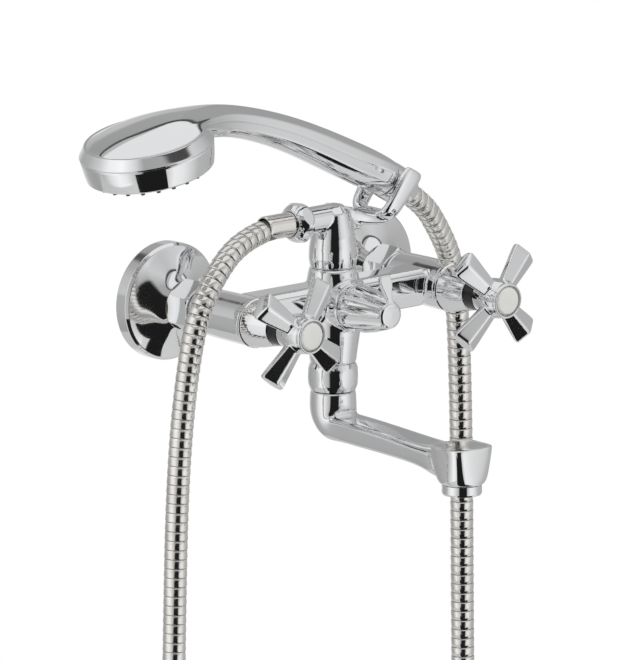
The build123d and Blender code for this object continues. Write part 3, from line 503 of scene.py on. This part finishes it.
# Handset: one lofted skin from the handle's end over the head, with a band round the head
handsetFacts = {
    # x, z, height above, height below, half width, and the share of the head's section or,
    # where it is below nought, of the round end's
    "handle": ((39.5, 67.0, 11.5, 11.5, 11.5, -1.0), (38.9, 67.4, 11.8, 11.8, 11.8, -1.0),
               (33.0, 70.9, 12.0, 12.0, 12.1, -0.9), (24.5, 75.6, 12.0, 12.0, 12.6, -0.2),
               (9.6, 82.9, 12.0, 12.0, 13.0, 0.0), (-16.8, 96.0, 11.3, 11.3, 13.0, 0.0),
               (-43.2, 107.4, 10.2, 10.2, 12.6, 0.0), (-67.8, 115.2, 9.6, 9.6, 13.0, 0.0),
               (-85.0, 118.9, 9.4, 9.4, 15.0, 0.05), (-97.0, 120.2, 9.2, 9.4, 18.5, 0.2),
               (-106.0, 121.0, 8.4, 8.0, 22.6, 0.5)),
    # place along the head, half width, height of the dome above its rim
    "dome": ((27.0, 25.0, 7.6), (15.0, 32.2, 8.7), (0.0, 35.2, 8.3), (-14.0, 32.5, 7.0), (-24.0, 26.0, 4.8),
             (-31.0, 17.1, 2.5), (-34.3, 8.6, 0.9), (-35.2, 3.6, 0.35)),
    "section": ((0.0, 1.0, 0.0), (0.40, 0.90, 0.0), (0.74, 0.56, 0.55), (0.835, 0.16, 0.8),
                (0.80, 0.115, 0.8), (0.86, 0.07, 0.8), (0.97, -0.36, 0.5), (0.74, -0.80, 0.0),
                (0.32, -1.0, 0.0), (0.0, -1.03, 0.0)),
    "domeSection": ((0.0, 1.0), (0.42, 0.84), (0.74, 0.47), (0.86, 0.27), (0.88, 0.235), (0.90, 0.20),
                    (0.97, 0.07), (1.0, -1.0), (0.6, -1.0), (0.0, -1.0)),
    "endSection": ((0.0, 1.0), (0.42, 0.907), (0.74, 0.673), (0.93, 0.37), (0.95, 0.31), (0.968, 0.25),
                   (0.96, -0.28), (0.74, -0.673), (0.38, -0.925), (0.0, -1.0)),
    "headCentre": (-142.5, -66.0, 113.5), "tilt": 12.0, "rim": -2.9,
    "band": ((0, -3.0, 0), (30.0, -3.0, 0), (36.0, -3.05, 0.3), (39.9, 3.2, 0.35), (39.6, 4.0, 0.15),
             (30.0, 4.0, 0), (0, 4.0, 0)),
    "ring": ((35.0, 4.12, 0.2), (39.3, 4.12, 0.2), (39.55, 5.2, 0.2), (38.7, 12.0, 0), (37.6, 17.4, 0.3),
             (36.8, 18.2, 0.3), (34.4, 18.2, 0.3), (34.1, 15.0, 0.2), (34.1, 8.0, 0)),
    "endAxis": (0.8536, 0.0, -0.5210), "endRings": 3, "domeBelow": 0.9,
    "bore": ((0, -12.0, 0), (10.15, -12.0, 0), (10.15, 4.0, 0), (0, 4.0, 0)),
    "recess": (26.4, -77.6, 75.4), "recessSize": (4.2, 1.9, 1.35), "recessTurn": 28,
}


def handsetRing(facts, centre, along, above, below, wide, share):
    upward = Vector((0, 1, 0)).cross(along)
    upward = upward if upward.z > 0 else -upward
    points = []
    others = facts["domeSection"] if share > 0 else facts["endSection"]
    for (side, high, _), (otherSide, otherHigh) in zip(facts["section"], others):
        side, high = side + (otherSide - side) * abs(share), high + (otherHigh - high) * abs(share)
        points.append((side * wide, high * (above if high > 0 else below)))
    points += [(-side, high) for side, high in reversed(points[1:-1])]
    return ringAt(centre, (0, -1, 0), upward, points)


def handsetRings(facts):
    rings = []
    stations = facts["handle"]
    for number, (x, z, above, below, wide, share) in enumerate(stations):
        before, after = stations[max(number - 1, 0)], stations[min(number + 1, len(stations) - 1)]
        along = Vector((after[0] - before[0], 0, after[1] - before[1])).normalized()
        if number < facts["endRings"]:  # square to the nut's axis
            along = -Vector(facts["endAxis"])
        rings.append(handsetRing(facts, Vector((x, bodyY, z)), along, above, below, wide, share))
    tilt = math.radians(facts["tilt"])
    along = Vector((-math.cos(tilt), 0, -math.sin(tilt)))
    upward = Vector((-math.sin(tilt), 0, math.cos(tilt)))
    for at, wide, high in facts["dome"]:
        centre = Vector(facts["headCentre"]) - along * at - upward * facts["rim"]
        rings.append(handsetRing(facts, centre, along, high, facts["domeBelow"], wide, 1.0))
    return rings


def makeHandset(facts):
    bm = sectionLoft(handsetRings(facts), ringCreases(facts["section"]), 3)
    centre, tilt = place3(*facts["headCentre"]), math.radians(facts["tilt"])
    down = Vector((math.sin(tilt), 0, -math.cos(tilt)))
    band = lathe(inMetres(facts["band"]), centre, down, fineSteps)
    bm = fused(bm, band, "UNION")
    end = place3(facts["handle"][0][0], bodyY, facts["handle"][0][1])
    bore = lathe(inMetres(facts["bore"]), end, facts["endAxis"], fineSteps, 0)
    bm = fused(bm, bore, "DIFFERENCE")
    recess = bmesh.new()
    bmesh.ops.create_uvsphere(recess, u_segments=32, v_segments=16, radius=0.001)
    bmesh.ops.scale(recess, vec=facts["recessSize"], verts=recess.verts)
    turn = Matrix.Rotation(math.radians(facts["recessTurn"]), 4, "Y")
    bmesh.ops.transform(recess, matrix=Matrix.Translation(place3(*facts["recess"])) @ turn, verts=recess.verts)
    bm = fused(bm, recess, "DIFFERENCE")
    swapIn("handset_shell", "handset", "handsetShell", chrome, finishMesh(bm, "handsetShell"))
    ring = lathe(inMetres(facts["ring"]), centre, down, fineSteps)
    swapIn("spray_ring", "handset", "sprayRing", chrome, finishMesh(ring, "sprayRing"))


makeHandset(handsetFacts)
print("handset made")


# Flanges against the wall
flangeFacts = {
    "outline": ((34.8, 0.0, 0.2), (34.75, 8.0, 0.3), (33.2, 9.7, 0.25), (31.0, 10.6, 0), (28.0, 12.0, 0),
                (24.5, 13.9, 0), (21.0, 16.0, 0), (18.0, 18.1, 0), (15.8, 20.1, 0), (14.7, 21.1, 0.1),
                (13.2, 21.1, 0.1), (14.6, 18.6, 0), (20.0, 14.0, 0), (28.0, 9.8, 0), (32.6, 7.4, 0),
                (33.5, 0.0, 0.2)),
    "places": {"left": -75, "right": 75}, "steps": 72,
}

for side, x in flangeFacts["places"].items():
    turnedPart("wall_flange_" + side, "mixer", "flange_" + side, chrome, flangeFacts["outline"],
               (x, 0, 0), towardRoom, flangeFacts["steps"])
print("flanges made")


# Spout: one bent pipe that flattens into the arm, and the cup at its end
spoutFacts = {
    # y, z, heading from straight down, half width, half height, squareness
    "pipe": ((-66.0, -53.5, 0, 12.9, 12.9, 2.0), (-66.0, -53.9, 0, 13.5, 13.5, 2.0),
             (-66.0, -60.0, 0, 13.9, 13.9, 2.0), (-66.2, -67.0, 10, 13.9, 13.5, 2.1),
             (-69.6, -72.3, 46, 13.2, 10.6, 2.5), (-75.0, -74.6, 78, 12.5, 8.2, 3.4),
             (-82.0, -74.2, 90, 12.2, 7.0, 4.4), (-95.0, -74.5, 91, 12.2, 6.9, 5.0),
             (-120.0, -75.3, 92, 12.4, 6.4, 5.0), (-142.0, -76.2, 92, 12.9, 6.1, 4.6),
             (-155.0, -76.9, 92, 13.5, 6.5, 4.0), (-163.0, -77.6, 93, 14.0, 7.8, 3.6),
             (-171.0, -78.6, 92, 14.2, 9.4, 3.3), (-180.0, -79.2, 90, 12.0, 9.6, 3.0)),
    # z, y of the middle, half width, half length, squareness
    "cup": ((-90.2, -181.5, 11.7, 11.7, 2.0), (-90.15, -181.5, 12.3, 12.3, 2.0),
            (-89.5, -181.5, 12.9, 12.8, 2.2), (-87.6, -181.4, 13.5, 13.2, 2.7),
            (-84.0, -181.3, 13.9, 13.5, 3.2), (-78.0, -181.2, 14.5, 13.9, 3.7),
            (-72.0, -181.1, 15.1, 14.2, 4.2), (-68.2, -181.0, 15.45, 14.4, 4.4),
            (-67.5, -181.0, 15.3, 14.3, 4.4), (-67.32, -181.0, 14.9, 13.9, 4.4),
            (-67.4, -181.0, 14.3, 13.3, 4.4), (-67.9, -181.0, 13.5, 12.5, 4.4)),
    "tube": ((0, -62.0, 0), (9.0, -62.0, 0), (9.0, -39.05, 0.3), (7.2, -39.05, 0.3), (7.2, -61.0, 0),
             (0, -61.0, 0)),
    "voxel": 0.00055, "rounds": 5,
}


def makeSpout(facts):
    rings = []
    for y, z, heading, wide, high, power in facts["pipe"]:
        lean = math.radians(heading)
        upward = (0, -math.cos(lean), math.sin(lean))
        rings.append(ringAt((0, y, z), (1, 0, 0), upward, roundRect(wide, high, power)))
    bm = sectionLoft(rings, noCreases, 2)
    rings = []
    for z, y, wide, long, power in facts["cup"]:
        rings.append(ringAt((0, y, z), (1, 0, 0), (0, 1, 0), roundRect(wide, long, power)))
    gather(bm, sectionLoft(rings, noCreases, 3))
    gather(bm, lathe(inMetres(facts["tube"]), place3(0, bodyY, 0), upright))
    softCast("spout", "spout_arm", "spoutArm", facts["voxel"], facts["rounds"], bm)


makeSpout(spoutFacts)
print("spout made")


# Shower column: the casting, with its arm and the fork drawn out as one strap
forkFacts = {
    "cutAt": 17.0, "end": (39.5, 67.0), "axis": (0.8536, -0.5210),
    # x, z, slope, half width, half height, squareness
    "arm": ((2.0, 50.0, 0, 6.4, 5.4, 2.4), (12.0, 49.0, -10, 6.8, 5.1, 2.5), (19.0, 46.8, -15, 8.0, 4.7, 2.6),
            (25.5, 45.6, -7, 10.6, 4.2, 2.8), (30.5, 45.3, 0, 13.0, 3.6, 3.0),
            (33.0, 45.5, 0, 13.6, 3.0, 3.0)),
    # across, up from the nut's axis, heading, half width, half thickness, shift along the nut
    "strap": ((15.0, 10.3, 90, 4.6, 1.6, 3.4), (15.1, 9.6, 90, 6.6, 2.4, 3.2), (15.2, 4.5, 90, 7.2, 2.8, 2.6),
              (15.0, -4.0, 90, 6.4, 2.9, 1.4), (14.7, -12.0, 90, 5.7, 2.9, 0.5),
              (14.2, -17.0, 80, 5.4, 2.9, 0.0), (12.2, -20.7, 45, 5.4, 2.9, 0.0),
              (7.4, -22.3, 8, 5.4, 2.9, 0.0), (0.0, -22.6, 0, 5.4, 2.9, 0.0)),
    "middle": 2.4, "strapPower": 2.8, "voxel": 0.0006, "rounds": 7,
}


def castingStub(facts):  # the CAD column without its own arm and fork
    bm = nodeCopy("shower_column")
    cut = bmesh.ops.bisect_plane(
        bm, geom=bm.verts[:] + bm.edges[:] + bm.faces[:], dist=0.0000005, clear_outer=True,
        plane_co=(facts["cutAt"] / 1000, 0, 0), plane_no=(1, 0, 0))["geom_cut"]
    bmesh.ops.holes_fill(bm, edges=[part for part in cut if isinstance(part, bmesh.types.BMEdge)], sides=0)
    return bm


def makeColumn(facts):
    bm = castingStub(facts)
    rings = []
    for x, z, slope, wide, high, power in facts["arm"]:
        lean = math.radians(slope)
        upward = (-math.sin(lean), 0, math.cos(lean))
        rings.append(ringAt((x, bodyY, z), (0, 1, 0), upward, roundRect(wide, high, power)))
    gather(bm, sectionLoft(rings, noCreases, 2))
    along = Vector((facts["axis"][0], 0, facts["axis"][1]))
    upward = Vector((-facts["axis"][1], 0, facts["axis"][0]))
    middle = Vector((facts["end"][0], bodyY, facts["end"][1])) + along * facts["middle"]
    half = list(facts["strap"])
    whole = half + [(-across, up, -heading, *rest) for across, up, heading, *rest in reversed(half[:-1])]
    rings = []
    for across, up, heading, wide, thick, shift in whole:
        turn = math.radians(heading)
        outside = Vector((0, -math.sin(turn), 0)) - upward * math.cos(turn)
        centre = middle + Vector((0, -across, 0)) + upward * up + along * shift
        rings.append(ringAt(centre, along, outside, roundRect(wide, thick, facts["strapPower"])))
    gather(bm, sectionLoft(rings, noCreases, 2))
    softCast("shower_column", "mixer", "column", facts["voxel"], facts["rounds"], bm)


makeColumn(forkFacts)
print("column and fork made")


# Cross handles: a turned hub, four ridged arms and the button
handleFacts = {
    # distance from the axis, size of the section about its middle, share of the tip's section
    "stations": ((4.0, 1.0, 0.0), (9.0, 1.0, 0.08), (20.0, 1.0, 0.5), (32.4, 1.0, 0.96), (33.6, 0.93, 1.0),
                 (34.1, 0.80, 1.0)),
    # across, distance from the wall, crease; the root's section and the tip's
    "root": ((0.0, 130.4, 0.7), (4.9, 127.9, 0.6), (4.4, 123.6, 0.2), (2.6, 121.3, 0.0), (0.0, 121.2, 0.0)),
    "tip": ((0.0, 128.5, 0.7), (9.3, 123.7, 0.6), (8.3, 119.4, 0.2), (4.6, 117.7, 0.0), (0.0, 117.6, 0.0)),
    "middle": 123.0, "voxel": 0.00042, "rounds": 5,
    "hub": ((0, 114.5, 0), (9.9, 114.5, 0.2), (10.6, 117.3, 0), (11.7, 121.3, 0), (11.7, 126.3, 0),
            (11.1, 131.3, 0), (10.5, 133.2, 0.2), (10.5, 135.2, 0.3), (9.9, 136.0, 0.2), (9.2, 136.0, 0.2),
            (8.9, 133.7, 0.1), (0, 133.7, 0)),
    "button": ((0, 133.3, 0), (8.0, 133.3, 0.1), (8.0, 135.4, 0.2), (7.2, 136.2, 0.2), (5.0, 136.42, 0),
               (0, 136.5, 0)),
    "angles": {"hot": (53.4, 143.4, 233.4, 323.4), "cold": (45.5, 135.5, 225.5, 315.5)},
    "places": {"hot": -75.0, "cold": 75.0},
}


def armSection(facts, size, share):  # between the root's section and the tip's, mirrored to a whole ring
    places = []
    for (rootAcross, rootOut, _), (tipAcross, tipOut, _) in zip(facts["root"], facts["tip"]):
        places.append((rootAcross + (tipAcross - rootAcross) * share, rootOut + (tipOut - rootOut) * share))
    places += [(-across, out) for across, out in reversed(places[1:-1])]
    middle = facts["middle"]
    return [(across * size, middle + (out - middle) * size) for across, out in places]


def makeHandle(facts, side):
    x, body = facts["places"][side], side + "_handle"
    bm = lathe(inMetres(facts["hub"]), place3(x, 0, 0), towardRoom, fineSteps)
    for angle in facts["angles"][side]:
        out = Vector((math.cos(math.radians(angle)), 0, math.sin(math.radians(angle))))
        across = Vector((-out.z, 0, out.x))
        rings = [ringAt(Vector((x, 0, 0)) + out * at, across, towardRoom, armSection(facts, size, share))
                 for at, size, share in facts["stations"]]
        gather(bm, sectionLoft(rings, ringCreases(facts["root"]), 3))
    softCast("handle_" + side, body, "crossHandle_" + side, facts["voxel"], facts["rounds"], bm)
    turnedPart("index_button_" + side, body, "button_" + side, whitePlastic, facts["button"],
               (x, 0, 0), towardRoom, fineSteps)


makeHandle(handleFacts, "hot")
makeHandle(handleFacts, "cold")
print("handles made")


# Castings, nuts and turned parts, and the hose between two of them
edgeFacts = {
    "fine": 0.00025, "fineSegments": 3, "fineAngle": 28.0, "normalWeight": 80,  # broken edges of cut parts
    "castVoxel": 0.0008, "castRounds": 8, "knobVoxel": 0.00035, "knobRounds": 3, "pointerRounds": 8,
}
turnedOutlines = {
    "ferrule": ((6.1, 31.5, 0), (7.25, 31.5, 0.1), (7.25, 51.7, 0.3), (6.9, 52.8, 0.2), (6.22, 52.8, 0.1),
                (6.1, 50.0, 0)),
    "coneNut": ((10.3, 0.08, 0.1), (11.2, 0.08, 0.1), (11.5, 2.0, 0), (11.5, 7.5, 0), (11.25, 12.0, 0),
                (10.3, 16.5, 0), (9.1, 19.6, 0), (8.3, 21.1, 0.2), (7.2, 21.2, 0.1), (7.1, 17.0, 0)),
    "aerator": ((9.2, -91.0, 0.1), (11.75, -90.35, 0.2), (11.8, -95.2, 0.3), (11.2, -96.35, 0.2),
                (9.4, -96.35, 0.2), (9.2, -94.0, 0)),
    "knobLining": ((11.0, 90.3, 0), (12.15, 90.3, 0), (12.1, 91.3, 0), (11.9, 92.3, 0), (11.0, 92.8, 0)),
}

for side in ("left", "right"):
    plainPart("union_nut_" + side, "mixer", "unionNut_" + side)
    crispPart("valve_bell_" + side, "mixer", "bell_" + side, chrome, edgeFacts)
    # the near-black sleeve fills the dark band between the bell and the handle's skirt
    crispPart("neck_sleeve_" + side, "mixer", "sleeve_" + side, nearBlack, edgeFacts)
# the lining closes the slits where the flutes' deep ends meet the knob's hollow
knobLining = lathe(inMetres(turnedOutlines["knobLining"]), place3(0, 0, -1), towardRoom, fineSteps)
softCast("diverter_knob", "diverter", "knob", edgeFacts["knobVoxel"], edgeFacts["knobRounds"],
         gather(nodeCopy("diverter_knob"), knobLining))
softCast("diverter_pointer", "diverter", "pointer", edgeFacts["knobVoxel"], edgeFacts["pointerRounds"])
outletNut = plainPart("hose_nut", "mixer", "outletNut")
ferrule = turnedPart("hose_ferrule", "mixer", "ferrule", hoseSteel, turnedOutlines["ferrule"],
                     (0, bodyY, 49.5), (-1, 0, 0))
makeHose(hoseFacts, hoseRoute)
plainPart("spout_nut", "mixer", "spoutNut")
turnedPart("cone_nut", "handset", "coneNut", chrome, turnedOutlines["coneNut"], (39.5, bodyY, 67.0),
           handsetFacts["endAxis"])
turnedPart("aerator_housing", "spout_arm", "aerator", chrome, turnedOutlines["aerator"],
           (0, -181.5, 0), upright, fineSteps)
softCast("body_casting", "mixer", "mixerBody", edgeFacts["castVoxel"], edgeFacts["castRounds"])
print("castings and turned parts made")


# Studio: white surroundings, pale floor, soft lamps, and a tent for the chrome to mirror
studioFacts = {
    "fill": 0.5, "floorZ": -0.85, "floorHalf": 1.0, "floorGlow": 0.3,
    # name, place, size, power
    "lamps": (("keyLamp", (-1.7, -1.9, 1.7), 1.3, 26.0), ("sideLamp", (1.9, -1.5, 1.0), 1.2, 14.0)),
}


def makeWorld(facts):
    world = bpy.data.worlds.new("studioWorld")
    world.use_nodes = True
    tree = world.node_tree
    background = tree.nodes["Background"]
    background.inputs["Color"].default_value = (1, 1, 1, 1)
    path = tree.nodes.new("ShaderNodeLightPath")
    seen = path.outputs["Is Camera Ray"]
    for ray in ("Is Glossy Ray", "Is Transmission Ray"):  # metal and glass show the white too
        either = tree.nodes.new("ShaderNodeMath")
        either.operation = "MAXIMUM"
        tree.links.new(seen, either.inputs[0])
        tree.links.new(path.outputs[ray], either.inputs[1])
        seen = either.outputs[0]
    level = tree.nodes.new("ShaderNodeMapRange")
    level.inputs["To Min"].default_value = facts["fill"]
    level.inputs["To Max"].default_value = 1.0
    tree.links.new(seen, level.inputs["Value"])
    tree.links.new(level.outputs["Result"], background.inputs["Strength"])
    scene.world = world


def stagePiece(name, bm, material):
    mesh = bpy.data.meshes.new(name)
    bm.to_mesh(mesh)
    bm.free()
    mesh.materials.append(material)
    piece = bpy.data.objects.new(name, mesh)
    scene.collection.objects.link(piece)
    return piece


def levelSquare(centre, half, facingDown=False):
    bm = bmesh.new()
    bmesh.ops.create_grid(bm, x_segments=1, y_segments=1, size=half)
    if facingDown:
        bmesh.ops.reverse_faces(bm, faces=bm.faces)
    bmesh.ops.translate(bm, vec=centre, verts=bm.verts)
    return bm


def makeFloor(facts):
    material, tree, shader, _ = startMaterial("paleFloor", (0.86, 0.86, 0.86), 0.0, 0.7)
    glow = tree.nodes.new("ShaderNodeEmission")
    glow.inputs["Color"].default_value = (1, 1, 1, 1)
    both = tree.nodes.new("ShaderNodeAddShader")
    path = tree.nodes.new("ShaderNodeLightPath")
    share = tree.nodes.new("ShaderNodeMath")
    share.operation = "MULTIPLY"
    share.inputs[1].default_value = facts["floorGlow"]
    tree.links.new(path.outputs["Is Camera Ray"], share.inputs[0])
    tree.links.new(share.outputs[0], glow.inputs["Strength"])
    tree.links.new(shader.outputs["BSDF"], both.inputs[0])
    tree.links.new(glow.outputs["Emission"], both.inputs[1])
    tree.links.new(both.outputs["Shader"], tree.nodes["Material Output"].inputs["Surface"])
    stagePiece("floor", levelSquare((0, 0, facts["floorZ"]), facts["floorHalf"]), material)


tentFacts = {
    "radius": 2.4, "low": -2.3, "high": 2.3, "glow": 1.1,
    # name, half width, drop below the top, shade
    "roofs": (("tentRoof", 2.4, 0.0, 0.50), ("tentRoofMiddle", 2.0, 0.02, 0.84)),
    # how light the cloth is round the object, from behind it over its left to the camera and on
    "lowShades": ((0.00, 0.60), (0.03, 0.74), (0.07, 0.58), (0.12, 0.38), (0.18, 0.34), (0.24, 0.42),
                  (0.29, 0.74), (0.34, 0.92), (0.38, 0.84), (0.42, 0.62), (0.460, 0.42), (0.468, 0.012),
                  (0.580, 0.012), (0.588, 0.52), (0.64, 0.86), (0.69, 0.80), (0.78, 0.46), (0.90, 0.40),
                  (0.98, 0.42)),
    "midShades": ((0.00, 0.44), (0.03, 0.52), (0.09, 0.38), (0.18, 0.42), (0.25, 0.60), (0.30, 0.88),
                  (0.36, 0.84), (0.42, 0.58), (0.468, 0.36), (0.476, 0.012), (0.586, 0.012), (0.594, 0.40),
                  (0.64, 0.70), (0.70, 0.76), (0.80, 0.50), (0.88, 0.38), (0.96, 0.32)),
    "highShades": ((0.00, 0.36), (0.10, 0.32), (0.18, 0.40), (0.24, 0.62), (0.30, 0.92), (0.36, 0.96),
                   (0.42, 0.66), (0.455, 0.36), (0.56, 0.38), (0.62, 0.60), (0.68, 0.52), (0.74, 0.62),
                   (0.82, 0.50), (0.90, 0.34)),
    "bands": ((0.12, 0.32), (0.90, 1.15), (2.05, 2.12)), "edgeShade": 0.06,
    # the black card before the object: how far forward and to the right of the target its corners
    # are, and its height
    "card": ((0.38, -0.16), (0.10, 0.05), (0.10, 0.72), (0.44, 0.76), (0.52, 0.46), (1.60, 0.95),
             (1.60, -0.72)),
    "cardZ": -0.83, "cardShade": 0.012,
}


def hideFromCamera(piece):  # mirrored by the metal, seen and lit by nothing else
    piece.visible_camera = False
    piece.visible_diffuse = False
    piece.visible_shadow = False


def shadeRamp(tree, value, shades):
    ramp = tree.nodes.new("ShaderNodeValToRGB")
    while len(ramp.color_ramp.elements) < len(shades):
        ramp.color_ramp.elements.new(0.5)
    for stop, (at, shade) in zip(ramp.color_ramp.elements, shades):
        stop.position = at
        stop.color = (shade, shade, shade, 1)
    tree.links.new(value, ramp.inputs["Fac"])
    return ramp.outputs["Color"]


def glowMaterial(name, shade, strength=1.0):
    material = bpy.data.materials.new(name)
    material.use_nodes = True
    tree = material.node_tree
    tree.nodes.remove(tree.nodes["Principled BSDF"])
    glow = tree.nodes.new("ShaderNodeEmission")
    glow.inputs["Color"].default_value = (shade, shade, shade, 1)
    glow.inputs["Strength"].default_value = strength
    tree.links.new(glow.outputs["Emission"], tree.nodes["Material Output"].inputs["Surface"])
    return material, tree, glow


def tentCloth(facts):  # shades that change round the object and from band to band upwards
    material, tree, glow = glowMaterial("tentCloth", 1.0, facts["glow"])
    where = tree.nodes.new("ShaderNodeTexCoord")
    place = tree.nodes.new("ShaderNodeMapping")
    place.vector_type = "TEXTURE"
    place.inputs["Location"].default_value = cameraFacts["target"]
    place.inputs["Rotation"].default_value = (0, 0, math.radians(cameraFacts["azimuth"] - 90))
    around = tree.nodes.new("ShaderNodeTexGradient")
    around.gradient_type = "RADIAL"
    height = tree.nodes.new("ShaderNodeSeparateXYZ")
    tree.links.new(where.outputs["Object"], place.inputs["Vector"])
    tree.links.new(place.outputs["Vector"], around.inputs["Vector"])
    tree.links.new(place.outputs["Vector"], height.inputs["Vector"])
    edge = ((0.0, facts["edgeShade"]), (1.0, facts["edgeShade"]))
    ramps = [shadeRamp(tree, around.outputs["Fac"], shades)
             for shades in (facts["lowShades"], facts["midShades"], facts["highShades"], edge)]
    seen = ramps[0]
    for (low, high), above in zip(facts["bands"], ramps[1:]):  # one band of cloth above another
        mix = tree.nodes.new("ShaderNodeMix")
        mix.data_type = "RGBA"
        tree.links.new(spread(tree, height.outputs["Z"], 0.0, 1.0, low, high), mix.inputs["Factor"])
        tree.links.new(seen, mix.inputs[6])
        tree.links.new(above, mix.inputs[7])
        seen = mix.outputs[2]
    tree.links.new(seen, glow.inputs["Color"])
    return material


def makeTent(facts):  # a small photo tent: soft boxes left and right, a dark gap round the camera
    target = cameraFacts["target"]
    bm = bmesh.new()
    bmesh.ops.create_circle(bm, segments=96, radius=facts["radius"])
    raised = bmesh.ops.extrude_edge_only(bm, edges=bm.edges[:])["geom"]
    top = [part for part in raised if isinstance(part, bmesh.types.BMVert)]
    bmesh.ops.translate(bm, vec=(0, 0, facts["high"] - facts["low"]), verts=top)
    bmesh.ops.translate(bm, vec=target + Vector((0, 0, facts["low"])), verts=bm.verts)
    hideFromCamera(stagePiece("tent", bm, tentCloth(facts)))
    for name, half, drop, shade in facts["roofs"]:
        bm = levelSquare(target + Vector((0, 0, facts["high"] - drop)), half, True)
        hideFromCamera(stagePiece(name, bm, glowMaterial(name, shade)[0]))
    towardCamera = Vector((cameraBack.x, cameraBack.y, 0)).normalized()
    bm = bmesh.new()
    middle = target + Vector((0, 0, facts["cardZ"]))
    bm.faces.new([bm.verts.new(middle + towardCamera * ahead + cameraRight * side)
                  for ahead, side in facts["card"]])
    hideFromCamera(stagePiece("darkStrip", bm, glowMaterial("darkCloth", facts["cardShade"])[0]))


def makeLamp(name, place, size, power):
    lamp = bpy.data.objects.new(name, bpy.data.lights.new(name, "AREA"))
    lamp.data.size = size
    lamp.data.energy = power
    lamp.location = place
    lamp.rotation_euler = (cameraFacts["target"] - Vector(place)).to_track_quat("-Z", "Y").to_euler()
    lamp.visible_glossy = False  # the metal mirrors the tent, not the lamps
    scene.collection.objects.link(lamp)


makeWorld(studioFacts)
makeFloor(studioFacts)
makeTent(tentFacts)
for name, place, size, power in studioFacts["lamps"]:
    makeLamp(name, place, size, power)
print("studio set")
